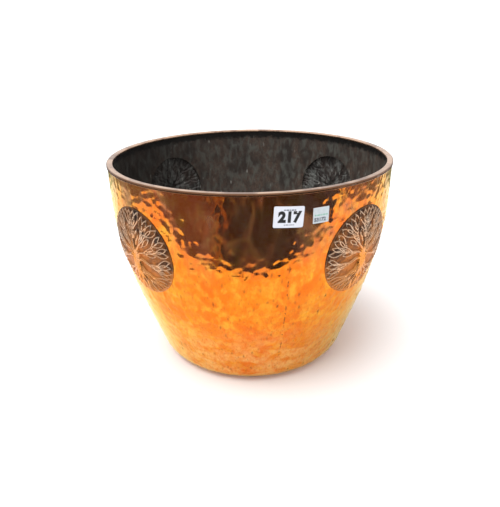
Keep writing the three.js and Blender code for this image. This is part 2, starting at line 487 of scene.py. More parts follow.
@dataclass
class TreeOfLife:
    """A tree whose crown and roots fill a round field.

    Attributes:
        radius: Radius of the field.
        seed: Seed of the small irregularities.
        crown_reach: Half of the angle that the crown fills, in degrees.
        limbs: Limbs that leave the trunk.
        root_reach: Half of the angle that the roots fill, in degrees.
        roots: Main roots.
        border: Where the branches end, as a part of the radius.
    """

    radius: float
    seed: int = 5
    crown_reach: float = 119.0
    limbs: int = 7
    root_reach: float = 62.0
    roots: int = 7
    border: float = 0.985

    def __post_init__(self) -> None:
        """Prepares the map and the places where the limbs and the roots start."""
        self.rng = np.random.default_rng(self.seed)
        self.relief = Relief(self.radius)
        self.fork = np.array([0.0, 0.02]) * self.radius
        self.collar = np.array([0.0, -0.42]) * self.radius

    def sway(self, amount: float) -> float:
        """A small random swing either way."""
        return float(self.rng.uniform(-amount, amount))

    def draw(self, cut: Cut, bends: np.ndarray) -> None:
        """Draws one of the chaser's strokes along a cubic curve."""
        wide, thin, high, low = (size * MM for size in cut.value)
        self.relief.stroke(bends, (wide, thin), (high, low))

    def curve(self, start: np.ndarray, heading: float, end: np.ndarray, arrival: float) -> np.ndarray:
        """Control points of a stroke that leaves and arrives at given headings."""
        reach = np.hypot(*(end - start)) * 0.42
        return np.array([start, start + polar(heading, reach), end - polar(arrival, reach), end])

    def leaf(self, start: np.ndarray, heading: float, end: np.ndarray, swell: float) -> None:
        """Draws a leaf-shaped loop with a fine vein.

        Args:
            start: Where its two sides leave the twig.
            heading: Direction of its middle.
            end: Its tip.
            swell: How far its sides open, in degrees.
        """
        lean = math.radians(swell)
        for side in (-1, 1):
            bends = self.curve(start, heading + side * lean, end, heading - side * lean * 1.25)
            self.draw(Cut.LEAF, bends)
        vein = start + (end - start) * np.array([[0.15], [0.35], [0.6], [0.78]])
        self.draw(Cut.VEIN, vein)

    def crown(self) -> None:
        """Draws the limbs, their branches and the leaves out to the border."""
        reach = math.radians(self.crown_reach)
        share = reach / self.limbs
        for turn in np.linspace(-reach, reach, 2 * self.limbs + 1)[1::2]:
            outward = turn / reach
            start = self.fork + np.array([3.5 * MM * outward, -0.20 * self.radius * outward ** 2])
            limb_end = start + polar(turn * 0.94 + self.sway(0.05), (0.34 + self.sway(0.04)) * self.radius)
            bends = self.curve(start, turn * 0.55, limb_end, turn * 1.05)
            self.draw(Cut.LIMB, bends)
            for side in (-1, 1):
                branch_turn = turn + side * share / 2
                edge = polar(branch_turn, self.border * self.radius)
                middle = limb_end + (edge - limb_end) * (0.36 + self.sway(0.06))
                bends = self.curve(limb_end, turn + side * 0.45, middle, branch_turn)
                self.draw(Cut.BRANCH, bends)
                for small in (-1, 1):
                    tip_turn = branch_turn + small * share / 4
                    tip = polar(tip_turn, (self.border - 0.02 + self.sway(0.012)) * self.radius)
                    joint = middle + (tip - middle) * (0.20 + self.sway(0.12))
                    bends = self.curve(middle, branch_turn + small * 0.5, joint, tip_turn)
                    self.draw(Cut.TWIG, bends)
                    self.leaf(joint, tip_turn, tip, 30 + self.sway(5))
                fill = limb_end + (middle - limb_end) * 0.35
                inner_turn = turn + side * share * 0.08
                inner_tip = fill + polar(inner_turn, (0.25 + self.sway(0.03)) * self.radius)
                self.leaf(fill, inner_turn, inner_tip, 24)
        for turn in np.linspace(-reach, reach, 2 * self.limbs + 1)[2:-1:2]:
            root = self.fork + polar(turn, (0.24 + self.sway(0.03)) * self.radius)
            twig = root + polar(turn + self.sway(0.15), 0.10 * self.radius)
            tip = twig + polar(turn + self.sway(0.08), (0.27 + self.sway(0.03)) * self.radius)
            self.draw(Cut.SPRIG, self.curve(root, turn, twig, turn))
            self.leaf(twig, turn, tip, 26)

    def trunk(self) -> None:
        """Draws the trunk as a bundle of strands that part into the limbs and the roots."""
        straight = np.linspace(self.collar, self.fork, 4)
        self.draw(Cut.TRUNK, straight)
        for share in np.linspace(-1, 1, 6):
            foot = self.collar + np.array([share * 11.5, -3.0 + 4.0 * abs(share)]) * MM
            head = self.fork + np.array([share * 8.5, 5.0 - 3.0 * abs(share)]) * MM
            waist = np.array([share * 3.8 * MM, 0.0])
            neck = self.fork + waist - np.array([0, 3 * MM])
            self.draw(Cut.STRAND, np.array([foot, self.collar * 0.75 + waist, neck, head]))

    def spread_roots(self) -> None:
        """Draws the roots, each one splitting in three towards the border."""
        reach = math.radians(self.root_reach)
        share = reach / self.roots
        for turn in np.linspace(-reach, reach, 2 * self.roots + 1)[1::2]:
            down = math.pi - turn
            start = self.collar + np.array([10.0 * MM * turn / reach, 1.5 * MM * abs(turn / reach)])
            edge = polar(down, self.border * self.radius)
            middle = start + (edge - start) * (0.36 + self.sway(0.06))
            bends = self.curve(start, down - 0.55 * turn, middle, down + 0.1 * turn)
            self.draw(Cut.ROOT, bends)
            for side in (-1, 0, 1):
                tip_turn = down + side * share * 0.66 + self.sway(0.02)
                tip = polar(tip_turn, (self.border - 0.05 * (side == 0)) * self.radius)
                bends = self.curve(middle, down + side * 0.5, tip, tip_turn - side * 0.25)
                self.draw(Cut.ROOTLET, bends)

    def hatch(self) -> None:
        """Draws short fine strokes on the ground, pointing away from the trunk."""
        for ring in np.arange(0.30, 0.96, 0.075):
            count = round(2 * math.pi * ring * self.radius / (3.1 * MM))
            for turn in np.arange(count) * 2 * math.pi / count:
                start = polar(turn + self.sway(0.04), (ring + self.sway(0.02)) * self.radius)
                end = start + polar(turn + self.sway(0.35), (3.0 + self.sway(1.2)) * MM)
                self.draw(Cut.HATCH, np.linspace(start, end, 4))

    def carve(self) -> Relief:
        """Draws the whole tree and gives its height map."""
        self.hatch()
        self.crown()
        self.spread_roots()
        self.trunk()
        return self.relief


# ------------------------------------------------------------------ finishes


class Graph:
    """A short way to place and join shader nodes in one node tree."""

    def __init__(self, tree: bpy.types.NodeTree) -> None:
        """Takes an empty node tree."""
        self.tree = tree

    def add(self, kind: str, inputs: dict | None = None, **settings: object) -> bpy.types.Node:
        """Adds a node.

        Args:
            kind: The node's type without the ShaderNode prefix.
            inputs: Values or output sockets for its input sockets, by name or index.
            **settings: Properties of the node.

        Returns:
            The node.
        """
        node = self.tree.nodes.new("ShaderNode" + kind)
        for name, value in settings.items():
            setattr(node, name, value)
        for name, value in (inputs or {}).items():
            socket = node.inputs[name]
            if isinstance(value, bpy.types.NodeSocket):
                self.tree.links.new(value, socket)
            else:
                socket.default_value = value
        return node

    def math(self, operation: str, *values: object, clamp: bool = False) -> bpy.types.NodeSocket:
        """One step of arithmetic on numbers or sockets."""
        inputs = dict(enumerate(values))
        return self.add("Math", inputs, operation=operation, use_clamp=clamp).outputs[0]

    def rest(self, value: object) -> bpy.types.NodeSocket:
        """What a share leaves of the whole."""
        return self.math("SUBTRACT", 1.0, value)

    def blend(self, mask: object, first: object, second: object) -> bpy.types.NodeSocket:
        """Mixes two colours by a mask."""
        inputs = {"Factor": mask}
        for index, colour in ((6, first), (7, second)):
            inputs[index] = rgba(colour) if isinstance(colour, tuple) else colour
        return self.add("Mix", inputs, data_type="RGBA", clamp_factor=True).outputs[2]

    def lay(self, tone: object, colour: tuple, mask: object, share: object) -> bpy.types.NodeSocket:
        """Lays a share of a colour over a tone, where a mask says."""
        return self.blend(self.math("MULTIPLY", mask, share), tone, colour)

    def ramp(self, value: object, low: object, high: object) -> bpy.types.NodeSocket:
        """Stretches a value smoothly so that low becomes 0 and high becomes 1."""
        inputs = {"Value": value, "From Min": low, "From Max": high}
        return self.add("MapRange", inputs, interpolation_type="SMOOTHSTEP").outputs["Result"]

    def place(self) -> bpy.types.NodeSocket:
        """The place on the piece, in Object coordinates."""
        return self.add("TexCoord").outputs["Object"]

    def axes(self, place: bpy.types.NodeSocket) -> list[bpy.types.NodeSocket]:
        """The x, y and z of a place."""
        return list(self.add("SeparateXYZ", {0: place}).outputs)

    def scaled(self, place: bpy.types.NodeSocket, factors: object) -> bpy.types.NodeSocket:
        """A place with its x, y and z multiplied."""
        return self.add("VectorMath", {0: place, 1: factors}, operation="MULTIPLY").outputs[0]

    def drawn_out(self, place: bpy.types.NodeSocket, factor: object) -> bpy.types.NodeSocket:
        """A place whose height alone is multiplied."""
        return self.scaled(place, self.add("CombineXYZ", {0: 1.0, 1: 1.0, 2: factor}).outputs[0])

    def noise(self, place: bpy.types.NodeSocket, scale: object, **inputs: object) -> bpy.types.NodeSocket:
        """Soft noise at a place."""
        return self.add("TexNoise", {"Vector": place, "Scale": scale, **inputs}).outputs[0]

    def attribute(self, name: str) -> bpy.types.NodeSocket:
        """A value that the piece's vertices hold."""
        return self.add("Attribute", attribute_name=name).outputs["Fac"]


def rgba(colour: Sequence[float]) -> tuple[float, float, float, float]:
    """A colour with full alpha."""
    return (colour[0], colour[1], colour[2], 1.0)


class Effect(Enum):
    """The surface effects that several finishes share, each a node group built once."""

    CLOUDS = "tarnish_clouds"
    PITS = "hammer_pits"
    GRAIN = "metal_grain"

    def group(self) -> bpy.types.NodeTree:
        """The effect's node group, built on first use."""
        found = bpy.data.node_groups.get(self.value)
        return found if found else EFFECT_BUILDERS[self]()


def new_group(name: str, inputs: dict[str, float], outputs: Sequence[str]) -> tuple:
    """Starts a node group that works on Object coordinates.

    Args:
        name: The group's name.
        inputs: Input names and their default values.
        outputs: Output names.

    Returns:
        The graph, the group's input node, its output node and the coordinate socket.
    """
    tree = bpy.data.node_groups.new(name, "ShaderNodeTree")
    for label, value in inputs.items():
        socket = tree.interface.new_socket(label, in_out="INPUT", socket_type="NodeSocketFloat")
        socket.default_value = value
    for label in outputs:
        tree.interface.new_socket(label, in_out="OUTPUT", socket_type="NodeSocketFloat")
    source = tree.nodes.new("NodeGroupInput")
    target = tree.nodes.new("NodeGroupOutput")
    graph = Graph(tree)
    return graph, source, target, graph.place()


def build_clouds() -> bpy.types.NodeTree:
    """Soft tarnish clouds, drawn out upright, with streaks inside them."""
    graph, source, target, place = new_group(
        Effect.CLOUDS.value, {"Size": 20.0, "Cover": 0.5, "Softness": 0.2, "Upright": 1.0}, ["Mask"]
    )
    size, cover, softness, upright = list(source.outputs)[:4]
    drawn = graph.drawn_out(place, upright)
    cloud = graph.noise(drawn, size, Detail=5.0, Roughness=0.55, Distortion=0.6)
    cut = graph.rest(cover)
    mask = graph.ramp(cloud, graph.math("SUBTRACT", cut, softness), graph.math("ADD", cut, softness))
    graph.tree.links.new(mask, target.inputs["Mask"])
    return graph.tree


def build_pits() -> bpy.types.NodeTree:
    """Scattered small pits and nicks, longer than they are wide."""
    graph, source, target, place = new_group(
        Effect.PITS.value, {"Spacing": 90.0, "Size": 0.12, "Share": 0.3}, ["Mask"]
    )
    spacing, size, share = list(source.outputs)[:3]
    bend = graph.add("TexNoise", {"Vector": place, "Scale": 60.0}).outputs["Color"]
    bent = graph.scaled(bend, (0.004, 0.004, 0.01))
    moved = graph.add("VectorMath", {0: place, 1: bent}, operation="ADD").outputs[0]
    cell = graph.add("TexVoronoi", {"Vector": graph.scaled(moved, (1.0, 1.0, 0.34)), "Scale": spacing})
    near = graph.ramp(cell.outputs["Distance"], size, 0.0)
    pick = graph.add("SeparateColor", {0: cell.outputs["Color"]}).outputs[0]
    weight = graph.math("SUBTRACT", 1.0, graph.math("DIVIDE", pick, share), clamp=True)
    mask = graph.math("MULTIPLY", near, graph.math("POWER", weight, 0.5))
    graph.tree.links.new(mask, target.inputs["Mask"])
    return graph.tree


def build_grain() -> bpy.types.NodeTree:
    """Fine unevenness of worked metal: a roughness swing and a small height."""
    graph, source, target, place = new_group(
        Effect.GRAIN.value, {"Scale": 300.0, "Stretch": 1.0}, ["Roughness", "Height"]
    )
    scale, stretch = list(source.outputs)[:2]
    fine = graph.noise(graph.drawn_out(place, stretch), scale, Detail=3.0, Roughness=0.6)
    swing = graph.math("MULTIPLY", fine, graph.noise(place, 25.0, Detail=2.0))
    graph.tree.links.new(swing, target.inputs["Roughness"])
    graph.tree.links.new(fine, target.inputs["Height"])
    return graph.tree


EFFECT_BUILDERS: dict[Effect, Callable[[], bpy.types.NodeTree]] = {
    Effect.CLOUDS: build_clouds,
    Effect.PITS: build_pits,
    Effect.GRAIN: build_grain,
}


class Shader:
    """One material under construction, with its Principled shader at hand."""

    def __init__(self, name: str, **constants: object) -> None:
        """Makes the material.

        Args:
            name: The material's name.
            **constants: Values for the shader's own sockets, with _ for a space.
        """
        self.material = bpy.data.materials.new(name)
        self.material.use_nodes = True
        self.graph = Graph(self.material.node_tree)
        self.surface = self.material.node_tree.nodes["Principled BSDF"]
        for socket, value in constants.items():
            self.surface.inputs[socket.replace("_", " ")].default_value = value

    def feed(self, socket: str, value: bpy.types.NodeSocket) -> None:
        """Joins an output to one of the shader's sockets."""
        self.graph.tree.links.new(value, self.surface.inputs[socket])

    def effect(self, effect: Effect, **values: float) -> bpy.types.Node:
        """Places a shared effect with this material's own values."""
        node = self.graph.tree.nodes.new("ShaderNodeGroup")
        node.node_tree = effect.group()
        for name, value in values.items():
            node.inputs[name].default_value = value
        return node

    def clouds(self, size: float, cover: float, softness: float, upright: float) -> bpy.types.NodeSocket:
        """Places tarnish clouds and gives their mask."""
        return self.effect(
            Effect.CLOUDS, Size=size, Cover=cover, Softness=softness, Upright=upright
        ).outputs[0]

    def pits(self, spacing: float, size: float, share: float) -> bpy.types.NodeSocket:
        """Places hammer pits and gives their mask."""
        return self.effect(Effect.PITS, Spacing=spacing, Size=size, Share=share).outputs[0]

    def grain(self, scale: float, stretch: float = 1.0) -> list[bpy.types.NodeSocket]:
        """Places metal grain and gives its roughness and its height."""
        return list(self.effect(Effect.GRAIN, Scale=scale, Stretch=stretch).outputs)

    def bump(self, height: bpy.types.NodeSocket, distance: float) -> None:
        """Feeds a height into the shader's normal."""
        inputs = {"Height": height, "Distance": distance, "Strength": 1.0}
        self.feed("Normal", self.graph.add("Bump", inputs).outputs[0])


@dataclass(frozen=True)
class PolishedCopper:
    """Bright planished copper with light tarnish, pits and a hazy film.

    Attributes:
        bright: Colour of clean copper.
        yellow: Colour of its yellower clouds.
        deep: Colour of its redder clouds.
        foot_highlight: Colour of the pale patches near the foot, a painted highlight.
        tarnish: Colour of tarnished patches.
        fleck_and_ridge_shade: Colour of the small flecks, and of the painted shade on the ridges between
            the blows.
        pit: Colour of the pits.
        edge_tint: How the colours hold out towards a grazing view.
        sheen_tint: Colour of the film of fine dust.
        roughness: Roughness where it is clean.
        seam_slope: Tangent of the turn, from the front, at which the wall's joint lies.
        seam_reach: How far to either side of that its specks thin out.
        blow_share: How much one blow is painted redder or yellower than the next: a painted reflection of
            facets catching the light.
        ridge_share: How much painted shade darkens the ridges between blows.
        mottle_share: Strength of the small red mottling.
        fleck_share: Strength of the flecks.
        pit_share: Strength of the pits' colour.
        foot_highlight_heights: Heights between which the painted highlight near the foot dies out.
        tarnish_heights: Heights between which the tarnish grows to its full share.
        pit_heights: Heights between which the pits die out.
        film_heights: Heights between which the hazy film sets in.
    """

    bright: tuple = (0.735, 0.212, 0.010)
    yellow: tuple = (0.790, 0.325, 0.026)
    deep: tuple = (0.700, 0.135, 0.006)
    foot_highlight: tuple = (0.820, 0.420, 0.130)
    tarnish: tuple = (0.25, 0.105, 0.070)
    fleck_and_ridge_shade: tuple = (0.50, 0.105, 0.010)
    pit: tuple = (0.20, 0.060, 0.012)
    edge_tint: tuple = (1.0, 0.98, 0.66)
    sheen_tint: tuple = (1.0, 1.0, 0.34)
    roughness: float = 0.10
    seam_slope: float = 0.249
    seam_reach: tuple = (0.001, 0.008)
    blow_share: float = 0.55
    ridge_share: float = 0.35
    mottle_share: float = 0.60
    fleck_share: float = 0.42
    pit_share: float = 0.85
    foot_highlight_heights: tuple = (0.02, 0.12)
    tarnish_heights: tuple = (0.17, 0.27)
    pit_heights: tuple = (0.17, 0.22)
    film_heights: tuple = (0.15, 0.24)

    def seam(self, graph: Graph, place: bpy.types.NodeSocket) -> bpy.types.NodeSocket:
        """Masks the row of dark specks that the wall's upright joint shows.

        Args:
            graph: The material's graph.
            place: Object coordinates.

        Returns:
            The mask.
        """
        across, depth, _ = graph.axes(place)
        slope = graph.math("DIVIDE", across, graph.math("MULTIPLY", depth, -1.0))
        wander = graph.noise(place, 45.0)
        slope = graph.math("MULTIPLY_ADD", wander, 0.018, graph.math("SUBTRACT", slope, 0.009))
        away = graph.math("ABSOLUTE", graph.math("SUBTRACT", slope, self.seam_slope))
        near = graph.rest(graph.ramp(away, *self.seam_reach))
        line = graph.math("MULTIPLY", near, graph.math("LESS_THAN", depth, 0.0))
        return graph.math("MULTIPLY", line, graph.ramp(graph.noise(place, 210.0, Detail=1.0), 0.52, 0.62))

    def tone(self, shader: Shader, place: bpy.types.NodeSocket) -> tuple:
        """Works out the copper's colour.

        Args:
            shader: The shader under construction.
            place: Object coordinates.

        Returns:
            The colour, the mask of the tarnish and the mask of the pits.
        """
        graph = shader.graph
        height = graph.axes(place)[2]
        warm = shader.clouds(24.0, 0.46, 0.12, 0.45)
        glow = shader.clouds(40.0, 0.42, 0.12, 0.7)
        mottle = shader.clouds(170.0, 0.45, 0.12, 0.45)
        flecks = shader.clouds(480.0, 0.40, 0.10, 0.4)
        painted_light = shader.clouds(38.0, 0.54, 0.14, 1.7)
        dull = shader.clouds(30.0, 0.46, 0.10, 0.5)
        pits = shader.pits(120.0, 0.26, 1.0)
        nicks = shader.pits(215.0, 0.34, 1.0)
        blow = graph.attribute("blow")
        copper = graph.blend(warm, self.bright, self.deep)
        copper = graph.blend(glow, copper, self.yellow)
        # Each blow painted redder or yellower and the ridges between blows darker: painted reflection and
        # painted shade that stand in for hammered facets catching the light.
        copper = graph.lay(copper, self.deep, graph.ramp(blow, 0.0, 1.0), self.blow_share)
        copper = graph.lay(copper, self.yellow, graph.ramp(blow, 0.0, -1.0), self.blow_share)
        copper = graph.lay(copper, self.fleck_and_ridge_shade, graph.attribute("ridge"), self.ridge_share)
        # Paler patches near the foot: a painted highlight.
        copper = graph.lay(copper, self.foot_highlight, painted_light, graph.rest(graph.ramp(height, *self.foot_highlight_heights)))
        copper = graph.lay(copper, self.deep, mottle, self.mottle_share)
        copper = graph.lay(copper, self.fleck_and_ridge_shade, flecks, self.fleck_share)
        share = graph.math("MULTIPLY_ADD", graph.ramp(height, *self.tarnish_heights), 0.60, 0.03)
        tarnish = graph.math("MULTIPLY", dull, share)
        copper = graph.blend(tarnish, copper, self.tarnish)
        below = graph.rest(graph.ramp(height, *self.pit_heights))
        marks = graph.math("MULTIPLY_ADD", nicks, 0.40, pits)
        marks = graph.math("MAXIMUM", marks, self.seam(graph, place))
        marks = graph.math("MULTIPLY", marks, below, clamp=True)
        return graph.lay(copper, self.pit, marks, self.pit_share), tarnish, marks

    def material(self) -> bpy.types.Material:
        """Builds the material."""
        shader = Shader(
            "polished_copper", Coat_Roughness=0.5, Coat_IOR=2.0,
            Specular_Tint=rgba(self.edge_tint), Sheen_Weight=0.38, Sheen_Roughness=0.35,
            Sheen_Tint=rgba(self.sheen_tint),
        )
        graph = shader.graph
        place = graph.place()
        copper, tarnish, marks = self.tone(shader, place)
        shader.feed("Base Color", copper)
        shader.feed("Metallic", graph.math("MULTIPLY_ADD", tarnish, -0.45, 1.0))
        hazy = shader.clouds(55.0, 0.50, 0.20, 0.6)
        film = graph.math("MULTIPLY_ADD", hazy, 0.16, 0.08)
        film = graph.math("MULTIPLY", film, graph.ramp(graph.axes(place)[2], *self.film_heights))
        shader.feed("Coat Weight", graph.math("ADD", film, 0.05))
        swing, fine = shader.grain(420.0, 0.35)
        rough = graph.math("MULTIPLY_ADD", swing, 0.14, self.roughness - 0.035)
        rough = graph.math("MULTIPLY_ADD", tarnish, 0.22, rough)
        rough = graph.math("MULTIPLY_ADD", marks, 0.25, rough)
        shader.feed("Roughness", rough)
        dimples = graph.add("TexVoronoi", {"Vector": place, "Scale": 170.0}, feature="SMOOTH_F1").outputs[0]
        raised = graph.math("MULTIPLY_ADD", dimples, 1.6, fine)
        raised = graph.math("MULTIPLY_ADD", marks, -1.5, raised)
        shader.bump(raised, 0.05 * MM)
        return shader.material


@dataclass(frozen=True)
class OxidisedCopper:
    """The dull brown oxide inside the bowl, with grey-green bloom, pale specks and painted shadow under the
    rim and on the left.

    Attributes:
        name: Name of the material.
        brown: Colour of the plain oxide.
        dark: Colour of its darker clouds.
        bloom: Colour of the thin grey-green bloom.
        speck: Colour of the pale specks.
        specks: Share of the surface's cells that hold a speck.
        painted_shadow: Colour of the painted shadow under the rim and on the left.
        painted_shadow_heights: Heights between which the painted shadow under the rim sets in.
        painted_shadow_share: How much of the oxide it hides.
        left_span: Where, from left to right, the painted shade on the left side ends.
        left_share: How much of the oxide that hides.
    """

    name: str = "oxidised_copper"
    brown: tuple = (0.175, 0.120, 0.092)
    dark: tuple = (0.070, 0.057, 0.050)
    bloom: tuple = (0.185, 0.190, 0.165)
    speck: tuple = (0.62, 0.60, 0.55)
    specks: float = 0.16
    painted_shadow: tuple = (0.012, 0.011, 0.011)
    painted_shadow_heights: tuple = (0.270, 0.2755)
    painted_shadow_share: float = 0.88
    left_span: tuple = (-0.19, -0.04)
    left_share: float = 0.66

    def shade(self, graph: Graph) -> bpy.types.NodeSocket:
        """How much of the oxide's colour is left: less in the painted shadow under the rim and in the
        painted shade on the left.
        """
        across, _, up = graph.axes(graph.place())
        ragged = graph.add("TexNoise", {"Scale": 55.0, "Detail": 3.0}).outputs[0]
        # Painted shadow under the rim.
        height = graph.math("MULTIPLY_ADD", ragged, 0.012, up)
        painted_shadow = graph.math("MULTIPLY", graph.ramp(height, *self.painted_shadow_heights), self.painted_shadow_share)
        # Painted shade on the left side.
        left = graph.ramp(across, *self.left_span)
        left = graph.math("MULTIPLY_ADD", left, self.left_share, 1 - self.left_share)
        return graph.math("MULTIPLY", graph.rest(painted_shadow), left)

    def material(self) -> bpy.types.Material:
        """Builds the material."""
        shader = Shader(self.name, Metallic=0.35)
        graph = shader.graph
        dark = shader.clouds(30.0, 0.50, 0.16, 0.7)
        bloom = shader.clouds(130.0, 0.44, 0.15, 0.45)
        fine = shader.clouds(320.0, 0.50, 0.15, 0.8)
        pits = shader.pits(170.0, 0.28, self.specks)
        tone = graph.blend(dark, self.brown, self.dark)
        tone = graph.lay(tone, self.dark, fine, 0.60)
        tone = graph.lay(tone, self.bloom, bloom, 0.7)
        tone = graph.blend(pits, tone, self.speck)
        # Painted shadow under the rim and painted shade on the left darken the oxide.
        shader.feed("Base Color", graph.blend(self.shade(graph), self.painted_shadow, tone))
        shader.feed("Roughness", graph.math("MULTIPLY_ADD", bloom, 0.25, 0.38))
        shader.bump(graph.math("MULTIPLY_ADD", fine, 0.8, shader.grain(500.0)[1]), 0.08 * MM)
        return shader.material


@dataclass(frozen=True)
class RimCopper:
    """The handled rim ring: pale, slightly dull copper with darker patches.

    Attributes:
        pale: Colour where hands keep it clean.
        brown: Colour of its browned patches.
        side: Colour of its outer side, which is darker than the top.
        side_radii: Radii between which the side's colour gives way to the top's.
    """

    pale: tuple = (0.84, 0.56, 0.40)
    brown: tuple = (0.38, 0.24, 0.18)
    side: tuple = (0.22, 0.105, 0.055)
    side_radii: tuple = (0.1898, 0.1878)

    def material(self) -> bpy.types.Material:
        """Builds the material."""
        shader = Shader("rim_copper", Metallic=0.95)
        graph = shader.graph
        patch = shader.clouds(34.0, 0.46, 0.12, 1.0)
        swing, fine = shader.grain(600.0)
        level = graph.scaled(graph.place(), (1.0, 1.0, 0.0))
        radius = graph.add("VectorMath", {0: level}, operation="LENGTH").outputs["Value"]
        tone = graph.blend(patch, self.pale, self.brown)
        # The outer side is darker than the top.
        shader.feed("Base Color", graph.blend(graph.ramp(radius, *self.side_radii), self.side, tone))
        shader.feed("Roughness", graph.math("MULTIPLY_ADD", swing, 0.2, 0.14))
        shader.bump(fine, 0.05 * MM)
        return shader.material


@dataclass(frozen=True)
class ChasedCopper:
    """Chased relief: dark ground, a painted highlight on the high lines, and a painted reflection brighter
    towards the trunk and roots.

    Attributes:
        ground: Colour of the darkened ground.
        warm_ground: Colour of the ground in the lower half and round the trunk, a painted reflection.
        line: Colour of the tops of the branches, a painted highlight.
        bright: Colour of the tops of the trunk and the roots, a painted reflection.
    """

    ground: tuple = (0.055, 0.035, 0.030)
    warm_ground: tuple = (0.56, 0.20, 0.050)
    line: tuple = (0.54, 0.42, 0.32)
    bright: tuple = (0.74, 0.28, 0.055)

    def material(self) -> bpy.types.Material:
        """Builds the material, which reads the piece's relief attribute and its rubbed attribute, the mask
        of painted light.
        """
        shader = Shader("chased_copper", Metallic=1.0)
        graph = shader.graph
        # Mask of painted reflection, strongest in the lower half and round the trunk.
        painted_light = graph.attribute("painted_light")
        patch = shader.clouds(70.0, 0.5, 0.2, 1.0)
        share = graph.math("MULTIPLY", painted_light, 0.7)
        warm = graph.math("MULTIPLY_ADD", patch, 0.4, share, clamp=True)
        glow = graph.math("MULTIPLY_ADD", patch, 0.6, graph.math("SUBTRACT", painted_light, 0.15))
        glow = graph.math("MULTIPLY", glow, 1.05, clamp=True)
        # Tops take a painted highlight, or a painted reflection where the mask is strong; the ground takes
        # a painted reflection there too.
        high = graph.blend(warm, self.line, self.bright)
        low = graph.blend(glow, self.ground, self.warm_ground)
        top = graph.ramp(graph.attribute("relief"), 0.15, 0.8)
        shader.feed("Base Color", graph.blend(top, low, high))
        shader.feed("Roughness", graph.math("MULTIPLY_ADD", top, -0.24, 0.50))
        shader.bump(shader.grain(900.0)[1], 0.12 * MM)
        return shader.material


@dataclass(frozen=True)
class Stock:
    """Paper or film with a faint fibre.

    Attributes:
        name: Name of the material.
        colour: Its plain colour.
        shade: Colour of the faint clouds in it.
        roughness: Its roughness.
    """

    name: str
    colour: tuple
    shade: tuple
    roughness: float

    def material(self) -> bpy.types.Material:
        """Builds the material."""
        shader = Shader(self.name, Metallic=0.0)
        graph = shader.graph
        cloud = shader.clouds(180.0, 0.5, 0.3, 1.0)
        swing, fine = shader.grain(2500.0)
        shader.feed("Base Color", graph.blend(cloud, self.colour, self.shade))
        shader.feed("Roughness", graph.math("MULTIPLY_ADD", swing, 0.1, self.roughness))
        shader.bump(fine, 0.01 * MM)
        return shader.material


# ------------------------------------------------------------------ sub-assemblies


